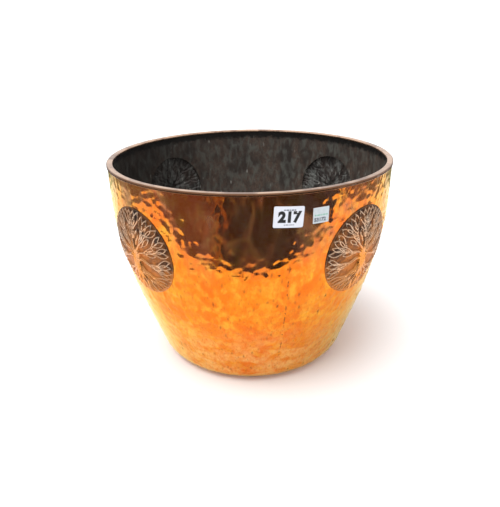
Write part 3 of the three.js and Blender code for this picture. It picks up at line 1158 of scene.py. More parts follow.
@dataclass
class HammeredWall:
    """The planished side of the bowl, with its foot, flange and round openings.

    Attributes:
        outline: The wall's outline.
        spots: The roundels' places.
        opening: Radius of the openings behind the roundels.
        pads: Where a label is stuck, and its width and height.
        outer_steps: Steps round the outside.
        outer_rows: Steps up the outside.
        inner_steps: Steps round the inside.
        inner_rows: Steps up the inside.
        inner_share: How much of the outside's hammering shows inside.
        edge_slope: How much lower the filed edge lies on the inside.
        roundel_lap: How far past its opening the wall lies smooth under a roundel.
        label_margin: How far past its edge the wall lies smooth under a label.
        calm_fade: Distance over which the hammering sets in beyond that.
        marks: The hammering.
    """

    outline: WallOutline
    spots: list[Spot]
    opening: float
    pads: list[tuple[Spot, float, float]]
    outer_steps: int = 540
    outer_rows: int = 138
    inner_steps: int = 270
    inner_rows: int = 62
    inner_share: float = 0.6
    edge_slope: float = 0.4 * MM
    roundel_lap: float = 3.5 * MM
    label_margin: float = 1.2 * MM
    calm_fade: float = 3.0 * MM
    marks: Planishing = field(default_factory=Planishing)

    def add_shell(self, bm: bmesh.types.BMesh, offset: float, steps: int, rows: int, index: int) -> None:
        """Adds one face of the sheet: cut out flat, then rolled up and hammered.

        Args:
            bm: The bmesh that takes the shell.
            offset: How far the face lies off the wall's outside.
            steps: Steps round.
            rows: Steps up.
            index: Material index of its faces.
        """
        before = set(bm.faces)
        verts = bmesh.ops.create_grid(bm, x_segments=steps, y_segments=rows, size=0.5)["verts"]
        sheet = np.array([vert.co for vert in verts])
        turns = sheet[:, 0] * 2 * math.pi
        distances = self.outline.start + (sheet[:, 1] + 0.5) * (self.outline.length - self.outline.start)
        for vert, turn, distance in zip(verts, turns, distances):
            vert.co = (turn, distance, 0)
        add_faces_of(bm, before, index)
        faces = [face for face in bm.faces if face not in before]
        for spot in self.spots:
            faces = self.cut_opening(bm, spot, faces)
        kept = list({vert for face in faces for vert in face.verts})
        places, tones, ridges = self.roll(np.array([vert.co for vert in kept]), offset)
        seam = [vert for vert in kept if math.pi - abs(vert.co.x) < 1e-5]
        tone_layer = bm.verts.layers.float["blow"]
        ridge_layer = bm.verts.layers.float["ridge"]
        for vert, place, tone, ridge in zip(kept, places, tones, ridges):
            vert.co = place
            vert[tone_layer] = tone
            vert[ridge_layer] = ridge
        bmesh.ops.remove_doubles(bm, verts=seam, dist=0.01 * MM)

    def cut_opening(self, bm: bmesh.types.BMesh, spot: Spot, faces: list) -> list:
        """Cuts one round opening into the flat sheet and trues its edge.

        Args:
            bm: The bmesh that holds the sheet, in turn and distance.
            spot: The opening's place.
            faces: The sheet's faces.

        Returns:
            The faces that are left.
        """
        centres = np.array([face.calc_center_median() for face in faces])
        inside = np.hypot(*spot.unroll(self.outline, centres).T) < self.opening
        bmesh.ops.delete(bm, geom=[face for face, gone in zip(faces, inside) if gone], context="FACES")
        faces = [face for face, gone in zip(faces, inside) if not gone]
        edge = list({vert for face in faces for vert in face.verts if vert.is_boundary})
        flat = spot.unroll(self.outline, np.array([vert.co for vert in edge]))
        spans = np.hypot(*flat.T)
        for vert, place, span in zip(edge, flat, spans):
            if span < self.opening + 5 * MM:
                right, up = place * self.opening / span
                distance = spot.centre + up
                vert.co = (spot.angle + right / float(self.outline.radius(distance)), distance, 0)
        return faces

    def calm(self, sheet: np.ndarray) -> np.ndarray:
        """Share of the hammering at each turn and distance: none under the roundels and labels."""
        share = np.ones(len(sheet))
        for spot in self.spots:
            span = np.hypot(*spot.unroll(self.outline, sheet).T) - self.opening - self.roundel_lap
            share *= np.clip(span / self.calm_fade, 0, 1)
        for spot, width, height in self.pads:
            flat = np.abs(spot.unroll(self.outline, sheet)) - np.array([width, height]) / 2
            share *= np.clip((flat.max(1) - self.label_margin) / self.calm_fade, 0, 1)
        return share

    def roll(self, sheet: np.ndarray, offset: float) -> tuple[np.ndarray, np.ndarray, np.ndarray]:
        """Rolls flat places up into the hammered wall.

        Args:
            sheet: Rows of turn and distance.
            offset: How far the face lies off the wall's outside.

        Returns:
            Rows of x, y and z, and the tone and the ridge mask of each place.
        """
        turns, distances = sheet[:, 0], sheet[:, 1]
        around = np.column_stack([np.sin(turns), -np.cos(turns)])
        radius, height = self.outline.at(distances)
        smooth = np.column_stack([around * radius[:, None], height])
        free = np.clip((self.outline.length - distances) / (4 * MM), 0, 1)
        free *= np.clip(height / (12 * MM), 0, 1) * self.calm(sheet)
        marks, tones, ridges = self.marks.strike(self.outline, smooth)
        marks *= free
        if offset < 0:
            marks *= self.inner_share
        radius, height = self.outline.at(distances, offset + marks)
        if offset < 0:
            height -= self.edge_slope * (distances > self.outline.length - self.edge_slope)
        return np.column_stack([around * radius[:, None], height]), tones, ridges

    def join_edges(self, bm: bmesh.types.BMesh) -> None:
        """Joins the two faces of the sheet along the rim, the flange and the openings."""
        top = self.outline.top_height - MM
        bottom = 2 * MM
        tests = [
            lambda place: place.z > top,
            lambda place: place.z < bottom,
        ]
        for spot in self.spots:
            facing = Vector((math.sin(spot.angle), -math.cos(spot.angle), 0))
            tests.append(
                lambda place, facing=facing: bottom < place.z < top
                and place.dot(facing) > 0.8 * place.xy.length
            )
        before = set(bm.faces)
        open_edges = [edge for edge in bm.edges if edge.is_boundary]
        for test in tests:
            loop = [edge for edge in open_edges if all(test(vert.co) for vert in edge.verts)]
            bmesh.ops.bridge_loops(bm, edges=loop)
        add_faces_of(bm, before, 1)

    def build(self) -> bpy.types.Mesh:
        """Builds the whole sheet."""
        bm = bmesh.new()
        bm.verts.layers.float.new("blow")
        bm.verts.layers.float.new("ridge")
        self.add_shell(bm, 0.0, self.outer_steps, self.outer_rows, 0)
        self.add_shell(bm, -SHEET, self.inner_steps, self.inner_rows, 1)
        self.join_edges(bm)
        return mesh_from(bm, "planished_wall")

    def dress(self, mesh: bpy.types.Mesh) -> None:
        """Gives the wall its bright outside and its oxidised inside."""
        finishes = [PolishedCopper().material(), OxidisedCopper().material()]
        add_piece(mesh, finishes, "body_wall")


@dataclass
class BaseDisc:
    """The bottom of the bowl, slightly uneven, laid on the flange.

    Attributes:
        steps: Steps in its whole turn.
        rings: Rings between its edge and its middle.
        edge: Chamfer of its edge.
        lump: Distance across one uneven place.
        unevenness: Height of the uneven places.
    """

    steps: int = 128
    rings: int = 40
    edge: float = 0.4 * MM
    lump: float = 22 * MM
    unevenness: float = 0.25 * MM

    def build(self) -> bpy.types.Mesh:
        """Builds the disc from a section spun about the axis."""
        low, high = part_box("base_disc")
        radii = np.linspace(high.x - self.edge, 2 * MM, self.rings)
        upper = [(radius, high.z) for radius in radii]
        lower = [(radius, low.z) for radius in radii[::-4]]
        section = [(high.x, low.z + self.edge), (high.x, high.z - self.edge), *upper, *lower]
        bm = bmesh.new()
        spin_section(bm, section, self.steps, closed=True)
        inner = [edge for edge in bm.edges if edge.is_boundary]
        bmesh.ops.holes_fill(bm, edges=inner, sides=0)
        mesh = mesh_from(bm, "bottom_disc")
        places = coordinates(mesh)
        top = places[:, 2] > (low.z + high.z) / 2
        places[top, 2] += self.unevenness * slow_noise(places[top] * np.array([1, 1, 0]), self.lump, 3.0)
        move_to(mesh, places)
        return mesh

    def dress(self, mesh: bpy.types.Mesh) -> None:
        """Gives the disc the same oxide as the inside of the wall."""
        add_piece(mesh, [bpy.data.materials["oxidised_copper"]], "base_disc")


@dataclass
class RimRing:
    """The flat ring on the wall's edge, open at one slanting scarf joint.

    Attributes:
        width: Width of the ring.
        edge: Rounding of its edges.
        groove: Depth of the groove for the wall's edge.
        scarf_angle: Where its ends meet, in degrees from the front.
        slant: How far round the joint runs across the ring's width, in radians.
        slant_fade: How far round from the joint its slant dies out, in radians.
        ends_gap: Gap between its ends.
        under_edge: Chamfer of its underside.
        noise_radius: Radius of the circle on which its unevenness is drawn.
        steps: Steps round it.
    """

    outline: WallOutline
    width: float = 8 * MM
    edge: float = 1.6 * MM
    groove: float = 1.2 * MM
    scarf_angle: float = 148.0
    slant: float = 0.042
    slant_fade: float = 0.25
    ends_gap: float = 0.25 * MM
    under_edge: float = 0.3 * MM
    noise_radius: float = 0.19
    steps: int = 480

    def section(self) -> list[tuple[float, float]]:
        """The ring's outline in radius and height."""
        low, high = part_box("rim_ring")
        inner = high.x - self.width
        corners = []
        turns = np.linspace(0, math.pi / 2, 5)
        for centre_r, centre_z, start in (
            (high.x - self.edge, high.z - self.edge, 0.0),
            (inner + self.edge, high.z - self.edge, math.pi / 2),
        ):
            for turn in turns + start:
                corner = centre_r + self.edge * math.cos(turn), centre_z + self.edge * math.sin(turn)
                corners.append(corner)
        crown = [(radius, high.z) for radius in np.linspace(corners[4][0], corners[5][0], 6)[1:-1]]
        groove_in = self.outline.top_radius - SHEET - BRAZE_GAP
        groove_out = self.outline.top_radius + BRAZE_GAP
        under = [
            (inner, low.z + self.under_edge), (inner + self.under_edge, low.z), (groove_in, low.z),
            (groove_in, low.z + self.groove), (groove_out, low.z + self.groove), (groove_out, low.z),
            (high.x - self.under_edge, low.z), (high.x, low.z + self.under_edge),
            (high.x, low.z + self.under_edge + 0.2 * MM),
            (high.x, high.z - self.edge - 0.15 * MM),
        ]
        return [*corners[:5], *crown, *corners[5:], *under]

    def build(self) -> bpy.types.Mesh:
        """Spins the section almost all the way round and slants its two closed ends."""
        bm = bmesh.new()
        verts = [bm.verts.new((0.0, -radius, height)) for radius, height in self.section()]
        first = bm.faces.new(verts)
        gap = self.ends_gap / self.outline.top_radius
        bmesh.ops.spin(
            bm, geom=[first, *first.edges, *first.verts], cent=(0, 0, 0), axis=UP, dvec=(0, 0, 0),
            angle=2 * math.pi - gap, steps=self.steps, use_merge=False, use_duplicate=False,
        )
        start = Matrix.Rotation(math.radians(self.scarf_angle) + gap / 2, 3, "Z")
        bmesh.ops.rotate(bm, verts=bm.verts, cent=(0, 0, 0), matrix=start)
        mesh = mesh_from(bm, "rim_ring_strip", 50.0)
        places = coordinates(mesh)
        radii = np.hypot(places[:, 0], places[:, 1])
        turns = np.arctan2(places[:, 0], -places[:, 1])
        joint = math.radians(self.scarf_angle)
        away = (turns - joint + math.pi) % (2 * math.pi) - math.pi
        lean = (radii - (self.outline.top_radius - self.width / 2)) / self.width * self.slant
        turns += lean * np.exp(-np.abs(away) / self.slant_fade)
        top = places[:, 2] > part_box("rim_ring")[1].z - self.edge - 0.01 * MM
        ring_line = np.column_stack([np.sin(turns), -np.cos(turns), 0 * turns]) * self.noise_radius
        uneven = slow_noise(ring_line, 35 * MM, 1.4)
        fine = slow_noise(places, 9 * MM, 6.2)
        places[:, 2] += np.where(top, 0.12 * MM * uneven + 0.07 * MM * fine - 0.1 * MM, 0)
        radii += 0.22 * MM * uneven - 0.1 * MM
        places[:, 0], places[:, 1] = radii * np.sin(turns), -radii * np.cos(turns)
        move_to(mesh, places)
        return mesh

    def dress(self, mesh: bpy.types.Mesh) -> None:
        """Gives the ring its handled copper."""
        add_piece(mesh, [RimCopper().material()], "rim_ring")


@dataclass
class Roundel:
    """A domed disc with the tree in relief, bent to the wall.

    Attributes:
        outline: The wall's outline.
        spot: Its place.
        node: The CAD node that it replaces.
        tree: The tree's height map.
        reverse: The softer height map of its back.
        radius: Its radius.
        opening: Radius of the opening behind it.
        rise: Height of its dome over its edge.
        thickness: How far its face stands off the wall, without the dome.
        edge_height: How far its edge stands off the wall.
        edge_round: Rounding of its edge.
        border_inset: How far inside the edge the border line runs.
        border_width: Width of that line.
        border_depth: Depth of that line.
        fade: Distance from the edge over which the relief sets in.
        stipple: Height of the ground's fine unevenness.
        stipple_size: Distance across one of its lumps.
        glow_reach: How far right and up the painted reflection round the trunk reaches.
        glow_drop: How far below the middle it lies.
        front_cells: Cells across the front.
        back_cells: Cells across the back.
    """

    outline: WallOutline
    spot: Spot
    node: str
    tree: Relief
    reverse: Relief
    radius: float
    opening: float
    rise: float = 2.6 * MM
    thickness: float = 1.1 * MM
    edge_height: float = 0.15 * MM
    edge_round: float = 1.1 * MM
    border_inset: float = 1.5 * MM
    border_width: float = 0.45 * MM
    border_depth: float = 0.6 * MM
    fade: float = 0.9 * MM
    stipple: float = 0.22 * MM
    stipple_size: float = 1.7 * MM
    glow_reach: tuple = (28 * MM, 24 * MM)
    glow_drop: float = 9 * MM
    front_cells: int = 250
    back_cells: int = 110

    def disc(self, bm: bmesh.types.BMesh, cells: int) -> None:
        """Adds a flat round grid to a bmesh, its edge trued to the circle."""
        before = set(bm.verts)
        bmesh.ops.create_grid(bm, x_segments=cells, y_segments=cells, size=self.radius)
        fresh = [vert for vert in bm.verts if vert not in before]
        faces = {face for vert in fresh for face in vert.link_faces}
        outside = [face for face in faces if face.calc_center_median().length > self.radius]
        bmesh.ops.delete(bm, geom=outside, context="FACES")
        for vert in bm.verts:
            if vert not in before and vert.is_boundary:
                vert.co *= self.radius / vert.co.length

    def dome(self, span: np.ndarray) -> np.ndarray:
        """Height of the plain dome at each distance from the middle."""
        return self.rise * np.sqrt(np.clip(1 - (span / self.radius) ** 2, 0, 1))

    def front_height(self, flat: np.ndarray) -> np.ndarray:
        """Height of the front over the wall at each right and up."""
        span = np.hypot(flat[:, 0], flat[:, 1])
        from_edge = self.radius - span
        dome = self.dome(span)
        line = self.border_depth * np.exp(-((from_edge - self.border_inset) / self.border_width) ** 2)
        edge = np.clip(from_edge / self.edge_round, 0, 1)
        relief = self.tree.heights(flat) * np.clip(from_edge / self.fade - 1, 0, 1)
        body = self.thickness + dome - line + relief
        stipple = self.stipple * slow_noise(flat * np.array([1, 1, 0]), self.stipple_size, 2.0)
        foot = self.edge_height
        return foot + (body + stipple - foot) * np.sqrt(edge * (2 - edge))

    def back_height(self, flat: np.ndarray) -> np.ndarray:
        """Height of the back over the wall's outside at each right and up."""
        span = np.hypot(flat[:, 0], flat[:, 1])
        hollow = self.dome(span) + 0.9 * self.reverse.heights(flat)
        over = np.clip((self.opening - span) / (1.5 * MM), 0, 1)
        return 0.12 * MM + hollow * over

    def build(self) -> bpy.types.Mesh:
        """Builds the disc flat, lifts it to its relief and bends it to the wall."""
        bm = bmesh.new()
        self.disc(bm, self.front_cells)
        front = set(bm.verts)
        front_faces = set(bm.faces)
        self.disc(bm, self.back_cells)
        add_faces_of(bm, front_faces, 1)
        back = [vert for vert in bm.verts if vert not in front]
        bmesh.ops.translate(bm, verts=back, vec=(0, 0, -5 * MM))
        bmesh.ops.bridge_loops(bm, edges=[edge for edge in bm.edges if edge.is_boundary])
        mesh = mesh_from(bm, self.node + "_disc", 75.0)
        flat = coordinates(mesh)
        is_front = flat[:, 2] > -1 * MM
        flat[:, 2] = np.where(is_front, self.front_height(flat), self.back_height(flat))
        self.mark(mesh, flat)
        move_to(mesh, self.spot.bend(self.outline, flat))
        return mesh

    def mark(self, mesh: bpy.types.Mesh, flat: np.ndarray) -> None:
        """Stores how raised each vertex is, and how much painted light it takes, for the finish."""
        # Raised lines and a ring just inside the edge take the painted highlight.
        raised = np.clip(self.tree.heights(flat) / (1.2 * MM), 0, 1)
        from_edge = self.radius - np.hypot(flat[:, 0], flat[:, 1])
        raised = np.maximum(raised, 0.45 * np.clip(1 - np.abs(from_edge / MM - 0.7) / 0.7, 0, 1))
        # Painted reflection: stronger in the lower half and round the trunk.
        low = np.clip(-flat[:, 1] / self.radius - 0.05, 0, 1)
        across, up = self.glow_reach
        trunk = np.exp(-(flat[:, 0] / across) ** 2 - ((flat[:, 1] + self.glow_drop) / up) ** 2)
        painted_light = np.clip(0.12 + 0.8 * low + trunk, 0, 1)
        for name, values in (("relief", raised), ("painted_light", painted_light)):
            layer = mesh.attributes.new(name, "FLOAT", "POINT")
            layer.data.foreach_set("value", values.astype(np.float32))

    def dress(self, mesh: bpy.types.Mesh) -> None:
        """Gives the front its chased copper and the back the oxide of the inside."""
        front = bpy.data.materials.get("chased_copper") or ChasedCopper().material()
        # A darker oxide for the roundels' backs than for the inside of the wall.
        back_oxide = OxidisedCopper(
            "roundel_back_oxide", (0.105, 0.078, 0.066), (0.040, 0.035, 0.033), (0.30, 0.31, 0.29), specks=0.7
        )
        back = bpy.data.materials.get(back_oxide.name) or back_oxide.material()
        add_piece(mesh, [front, back], self.node)


@dataclass
class Label:
    """A stuck-on label bent to the wall.

    Attributes:
        outline: The wall's outline.
        node: The CAD node that it replaces.
        width: Its width.
        height: Its height.
        corner: Radius of its corners.
        lean: Its turn on the wall, anticlockwise, in degrees.
        stock: What it is made of.
        slot: The record's material slot; not used.
        thickness: Its thickness.
        lift: How far it stands off the wall's smooth outside.
        strip: Width of the strips in which it bends.
        fatness: How much its digits are fattened, as a part of their height.
    """

    outline: WallOutline
    node: str
    width: float
    height: float
    corner: float
    lean: float
    stock: Stock
    slot: str
    thickness: float = 0.25 * MM
    lift: float = 0.12 * MM
    strip: float = 1.6 * MM
    fatness: float = 0.09

    def __post_init__(self) -> None:
        """Reads the label's place from the frame."""
        self.spot = Spot.of_node(self.node, self.outline)

    def bend(self, mesh: bpy.types.Mesh) -> None:
        """Turns a flat mesh by the label's lean and bends it to the wall."""
        mesh.transform(Matrix.Rotation(math.radians(self.lean), 4, "Z"))
        flat = coordinates(mesh)
        flat[:, 2] += self.lift
        move_to(mesh, self.spot.bend(self.outline, flat))

    def build(self) -> bpy.types.Mesh:
        """Builds the sheet with rounded corners, cut into strips so that it can bend."""
        bm = bmesh.new()
        bmesh.ops.create_grid(bm, x_segments=1, y_segments=1, size=0.5)
        bmesh.ops.scale(bm, vec=(self.width, self.height, 1), verts=bm.verts)
        bmesh.ops.bevel(
            bm, geom=bm.verts[:], offset=self.corner, offset_type="OFFSET", segments=5, profile=0.5,
            affect="VERTICES", material=-1,
        )
        solid = bmesh.ops.extrude_face_region(bm, geom=bm.faces[:])
        raised = [item for item in solid["geom"] if isinstance(item, bmesh.types.BMVert)]
        bmesh.ops.translate(bm, verts=raised, vec=(0, 0, self.thickness))
        for axis, span in ((Vector((1, 0, 0)), self.width), (Vector((0, 1, 0)), self.height)):
            for cut in np.arange(-span / 2 + self.strip, span / 2, self.strip):
                everything = [*bm.verts, *bm.edges, *bm.faces]
                bmesh.ops.bisect_plane(bm, geom=everything, plane_co=axis * cut, plane_no=axis)
        mesh = mesh_from(bm, self.node + "_sheet")
        self.bend(mesh)
        return mesh

    def dress(self, mesh: bpy.types.Mesh) -> None:
        """Gives the label its stock."""
        add_piece(mesh, [self.stock.material()], self.node)

    def print_mesh(self, mesh: bpy.types.Mesh, ink: bpy.types.Material) -> None:
        """Lays a flat printed shape on the label."""
        mesh.transform(Matrix.Translation((0, 0, self.thickness)))
        self.bend(mesh)
        add_piece(mesh, [ink], None)

    def print_dashes(self, name: str, centre: tuple, size: tuple, ink: bpy.types.Material) -> None:
        """Prints a row of plain dashes of different lengths.

        Args:
            name: The piece's name.
            centre: Right and up of the row's middle on the label.
            size: Width and height of the row.
            ink: Its ink.
        """
        lengths = np.array([2.0, 3.2, 1.4, 2.6, 1.8])
        gap = 0.7
        unit = size[0] / (lengths.sum() + gap * (len(lengths) - 1))
        starts = (np.cumsum(lengths + gap) - lengths - gap) * unit - size[0] / 2
        bm = bmesh.new()
        for start, length in zip(starts, lengths * unit):
            dash = bmesh.ops.create_grid(bm, x_segments=3, y_segments=1, size=0.5)["verts"]
            bmesh.ops.scale(bm, vec=(length, size[1], 1), verts=dash)
            bmesh.ops.translate(bm, vec=(start + length / 2, 0, 0), verts=dash)
        solid = bmesh.ops.extrude_face_region(bm, geom=bm.faces[:])
        raised = [item for item in solid["geom"] if isinstance(item, bmesh.types.BMVert)]
        bmesh.ops.translate(bm, verts=raised, vec=(0, 0, 0.03 * MM))
        bmesh.ops.translate(bm, verts=bm.verts, vec=(centre[0], centre[1], 0.01 * MM))
        self.print_mesh(mesh_from(bm, name), ink)

    def print_number(
        self, name: str, number: str, centre: tuple, height: float, ink: bpy.types.Material
    ) -> None:
        """Prints a bold number.

        Args:
            name: The piece's name.
            number: Its digits.
            centre: Right and up of its middle on the label.
            height: Height of the digits.
            ink: Its ink.
        """
        text = bpy.data.curves.new(name + "_text", "FONT")
        text.body = number
        text.align_x = "CENTER"
        text.align_y = "CENTER"
        text.size = height / 0.7
        text.offset = self.fatness * height
        text.extrude = 0.015 * MM
        text.space_character = 1.05
        holder = bpy.data.objects.new(name + "_text", text)
        bpy.context.scene.collection.objects.link(holder)
        bpy.context.view_layer.update()
        evaluated = holder.evaluated_get(bpy.context.evaluated_depsgraph_get())
        mesh = bpy.data.meshes.new_from_object(evaluated)
        mesh.name = name
        bpy.data.objects.remove(holder)
        bpy.data.curves.remove(text)
        mesh.materials.clear()
        middle = Matrix.Translation((centre[0], centre[1], 0.04 * MM))
        mesh.transform(middle @ Matrix.Diagonal((0.98, 1, 1, 1)))
        self.print_mesh(mesh, ink)


# ------------------------------------------------------------------ studio


@dataclass
class Studio:
    """Floor, lights, world and camera.

    Attributes:
        camera_distance: Distance of the camera from the middle of the bowl.
        camera_rise: The camera's elevation, in degrees.
        camera_turn: The camera's turn from the front, in degrees.
        camera_roll: The picture's turn, anticlockwise, in degrees.
        lens_ratio: Focal length as a part of the picture's width.
        shift: Shift of the picture, as parts of its width.
        table_edge: How far in front of the bowl's axis the pale table ends.
        table_turn: Turn of that edge, anticlockwise, in degrees.
        table_left: How far the pale table reaches to the left.
        table_right: How far it reaches to the right.
        table_back: How far it reaches behind the bowl's axis.
        world_strength: Brightness of the white room.
        backdrop_lift: How much brighter the camera sees it, so that it meets the floor.
        key_energy: Strength of the key light.
        key_spread: How wide the key light is, in degrees.
        key_place: Where the key light stands.
        sensor: Width of the camera's sensor.
        floor_reach: How far the floor reaches every way.
        room_reach: How far the dim room beyond the table reaches.
        floor_white: Colour of the floor.
        dim_left: Glow of the room on the left.
        dim_right: Glow of the room on the right.
        dim_back: Glow of the room behind.
        room_dark: Glow of the room straight ahead.
        room_left: Glow of the room ahead on the left.
        room_gap: Glow of the narrow gap in it.
    """

    camera_distance: float = 0.7068
    camera_rise: float = 23.485
    camera_turn: float = 0.88
    camera_roll: float = 0.79
    lens_ratio: float = 0.9504
    shift: tuple = (-0.0017, -0.0138)
    table_edge: float = 0.41
    table_turn: float = -2.5
    table_left: float = 0.90
    table_right: float = 0.92
    table_back: float = 0.70
    world_strength: float = 0.86
    backdrop_lift: float = 0.7
    key_energy: float = 2.8
    key_spread: float = 50.0
    key_place: tuple = (-0.52, -0.25, 1.6)
    sensor: float = 36.0
    floor_reach: float = 60.0
    room_reach: float = 6.0
    floor_white: tuple = (0.93, 0.93, 0.93)
    dim_left: tuple = (0.22, 0.18, 0.15)
    dim_right: tuple = (0.25, 0.22, 0.21)
    dim_back: tuple = (0.105, 0.085, 0.075)
    room_dark: tuple = (0.056, 0.052, 0.052)
    room_left: tuple = (0.205, 0.16, 0.13)
    room_gap: tuple = (0.34, 0.29, 0.25)

    def place_camera(self) -> None:
        """Aims the camera at the middle of the bowl."""
        data = bpy.data.cameras.new("camera")
        data.sensor_fit = "HORIZONTAL"
        data.sensor_width = self.sensor
        data.lens = self.sensor * self.lens_ratio
        data.shift_x, data.shift_y = self.shift
        data.clip_start = 0.05
        camera = bpy.data.objects.new("camera", data)
        bpy.context.scene.collection.objects.link(camera)
        middle = Vector((0, 0, (CAD_BOX[0][2] + CAD_BOX[1][2]) / 2))
        turn, rise = math.radians(self.camera_turn), math.radians(self.camera_rise)
        away = Vector((math.sin(turn) * math.cos(rise), -math.cos(turn) * math.cos(rise), math.sin(rise)))
        aim = (-away).to_track_quat("-Z", "Y").to_matrix().to_4x4()
        roll = Matrix.Rotation(-math.radians(self.camera_roll), 4, "Z")
        camera.matrix_world = Matrix.Translation(middle + away * self.camera_distance) @ aim @ roll
        bpy.context.scene.camera = camera

    def plane(self, name: str, low: tuple, high: tuple, height: float) -> bpy.types.Object:
        """Adds a level stage plane between two corners."""
        bm = bmesh.new()
        bmesh.ops.create_grid(bm, x_segments=1, y_segments=1, size=0.5)
        bmesh.ops.scale(bm, vec=(high[0] - low[0], high[1] - low[1], 1), verts=bm.verts)
        centre = ((low[0] + high[0]) / 2, (low[1] + high[1]) / 2, height)
        bmesh.ops.translate(bm, verts=bm.verts, vec=centre)
        mesh = bpy.data.meshes.new(name)
        bm.to_mesh(mesh)
        bm.free()
        plane = bpy.data.objects.new(name, mesh)
        bpy.context.scene.collection.objects.link(plane)
        return plane

    def lay_floor(self) -> None:
        """Lays the pale floor and, for reflections only, the dark room beyond the table's edge."""
        far = self.floor_reach
        floor = self.plane("floor", (-far, -far), (far, far), -0.2 * MM)
        paper = Shader("pale_floor", Roughness=0.8, Specular_IOR_Level=0.0)
        paper.surface.inputs["Base Color"].default_value = rgba(self.floor_white)
        floor.data.materials.append(paper.material)
        reach = self.room_reach
        edge = Matrix.Translation((0, -self.table_edge, 0)) @ Matrix.Rotation(
            math.radians(self.table_turn), 4, "Z"
        )
        areas = (
            ("front", (-reach, -reach), (reach, 0.0), edge, self.dark_room()),
            ("left", (-reach, -self.table_edge), (-self.table_left, 0.7), Matrix(),
             self.plain_glow("dim_left", self.dim_left)),
            ("right", (self.table_right, -self.table_edge), (reach, 0.9), Matrix(),
             self.plain_glow("dim_right", self.dim_right)),
            ("back", (-reach, 0.0), (reach, reach), Matrix.Translation((0, self.table_back, 0)),
             self.plain_glow("dim_back", self.dim_back)),
        )
        for name, low, high, place, material in areas:
            room = self.plane("dark_room_" + name, low, high, MM)
            room.data.transform(place)
            room.data.materials.append(material)
            for kind in ("camera", "diffuse", "shadow", "transmission", "volume_scatter"):
                setattr(room, "visible_" + kind, False)

    def glowing(self, name: str) -> tuple[bpy.types.Material, Graph, bpy.types.Node]:
        """Starts a material that only glows, and gives it, its graph and its glow."""
        material = bpy.data.materials.new(name)
        material.use_nodes = True
        material.node_tree.nodes.clear()
        graph = Graph(material.node_tree)
        glow = graph.add("Emission", {"Strength": 1.0})
        output = graph.add("OutputMaterial")
        graph.tree.links.new(glow.outputs[0], output.inputs["Surface"])
        return material, graph, glow

    def plain_glow(self, name: str, colour: tuple) -> bpy.types.Material:
        """An even glow of one colour."""
        material, _, glow = self.glowing(name)
        glow.inputs["Color"].default_value = rgba(colour)
        return material

    def dark_room(self) -> bpy.types.Material:
        """A dim glow: darkest straight ahead, lighter on the left, with one narrow bright gap."""
        material, graph, glow = self.glowing("dark_room")
        across, depth, _ = graph.axes(graph.place())
        sideways = graph.math("DIVIDE", across, depth)
        tone = graph.blend(graph.ramp(sideways, 0.15, 0.75), self.room_dark, self.room_left)
        opens = graph.ramp(sideways, 0.31, 0.36)
        gap = graph.math("MULTIPLY", opens, graph.rest(graph.ramp(sideways, 0.42, 0.48)))
        tone = graph.blend(gap, tone, self.room_gap)
        graph.tree.links.new(tone, glow.inputs["Color"])
        return material

    def light(self) -> None:
        """Lights the set with a white world and one wide soft light from high on the left."""
        scene = bpy.context.scene
        scene.world = bpy.data.worlds.new("white_room")
        scene.world.use_nodes = True
        background = scene.world.node_tree.nodes["Background"]
        background.inputs["Color"].default_value = (1, 1, 1, 1)
        graph = Graph(scene.world.node_tree)
        seen = graph.add("LightPath").outputs["Is Camera Ray"]
        strength = graph.math("MULTIPLY_ADD", seen, self.backdrop_lift, self.world_strength)
        graph.tree.links.new(strength, background.inputs["Strength"])
        data = bpy.data.lights.new("key", "SUN")
        data.angle = math.radians(self.key_spread)
        data.energy = self.key_energy
        key = bpy.data.objects.new("key", data)
        scene.collection.objects.link(key)
        key.visible_glossy = False
        place = Vector(self.key_place)
        aim = (-place).to_track_quat("-Z", "Y").to_matrix().to_4x4()
        key.matrix_world = Matrix.Translation(place) @ aim
        scene.view_settings.view_transform = "Standard"

    def build(self) -> None:
        """Sets up the whole studio."""
        self.place_camera()
        self.lay_floor()
        self.light()


# ------------------------------------------------------------------ the bowl


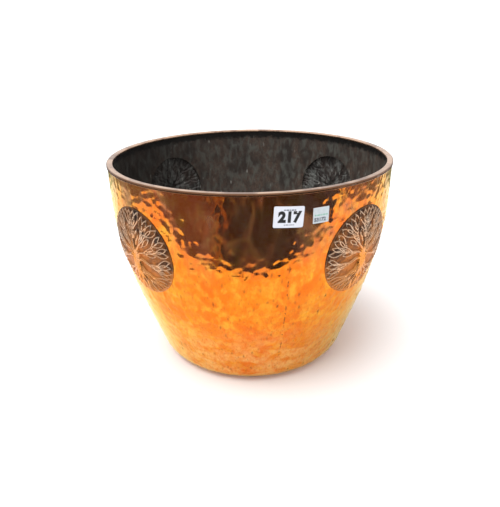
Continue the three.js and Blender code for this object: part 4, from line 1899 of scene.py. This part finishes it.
@dataclass
class PlanterBowl:
    """The whole bowl, built piece by piece round the frame."""

    outline: WallOutline = field(default_factory=WallOutline)
    roundel_radius: float = 56 * MM
    roundel_lap: float = 4 * MM
    roundel_nodes: tuple = (
        "roundel_front_right", "roundel_back_right", "roundel_back_left", "roundel_front_left",
    )

    def make_shell(self) -> None:
        """Makes the wall, the bottom and the rim ring."""
        opening = self.roundel_radius - self.roundel_lap
        spots = [Spot.of_node(node, self.outline) for node in self.roundel_nodes]
        pads = [(Spot.of_node(node, self.outline), *size) for node, size in LABEL_SIZES.items()]
        pieces = (
            HammeredWall(self.outline, spots, opening, pads), BaseDisc(), RimRing(self.outline),
        )
        for piece in pieces:
            piece.dress(piece.build())

    def make_roundels(self) -> None:
        """Makes the four roundels, struck from one die."""
        tree = TreeOfLife(self.roundel_radius).carve()
        reverse = tree.blurred(0.9 * MM)
        for node in self.roundel_nodes:
            roundel = Roundel(
                self.outline, Spot.of_node(node, self.outline), node, tree, reverse,
                self.roundel_radius, self.roundel_radius - self.roundel_lap,
            )
            roundel.dress(roundel.build())

    def make_labels(self) -> None:
        """Makes the two labels and their printing."""
        paper = Stock("label_paper", (0.68, 0.70, 0.77), (0.62, 0.64, 0.71), 0.5)
        film = Stock("label_film", (0.56, 0.60, 0.63), (0.47, 0.52, 0.55), 0.35)
        black = Stock("black_ink", (0.012, 0.012, 0.014), (0.02, 0.02, 0.022), 0.5).material()
        grey = Stock("grey_ink", (0.10, 0.11, 0.14), (0.16, 0.17, 0.2), 0.5).material()
        green = Stock("green_ink", (0.20, 0.42, 0.33), (0.26, 0.46, 0.38), 0.5).material()
        size = LABEL_SIZES["lot_label"]
        lot = Label(self.outline, "lot_label", *size, 1.6 * MM, -3.8, paper, "label_paper")
        lot.dress(lot.build())
        lot.print_number("lot_label_number", "217", (0.6 * MM, -0.5 * MM), 11.0 * MM, black)
        lot.print_dashes("lot_label_upper_dashes", (0.6 * MM, 7.7 * MM), (13 * MM, 1.4 * MM), grey)
        lot.print_dashes("lot_label_lower_dashes", (0.6 * MM, -8.6 * MM), (11 * MM, 0.9 * MM), grey)
        size = LABEL_SIZES["stock_label"]
        stock = Label(self.outline, "stock_label", *size, 0.4 * MM, 0.0, film, "label_film")
        stock.dress(stock.build())
        stock.print_dashes("stock_label_green_dashes", (0, 0.2 * MM), (16 * MM, 1.6 * MM), green)
        stock.print_number("stock_label_number", "53172", (-1.2 * MM, -5.0 * MM), 3.9 * MM, grey)

    def build(self) -> None:
        """Builds every piece in order."""
        self.make_shell()
        self.make_roundels()
        self.make_labels()


def main() -> None:
    """Builds the bowl and its studio."""
    logging.basicConfig(level=logging.INFO, format="%(name)s: %(message)s")
    PlanterBowl().build()
    Studio().build()


if __name__ == "__main__":
    main()
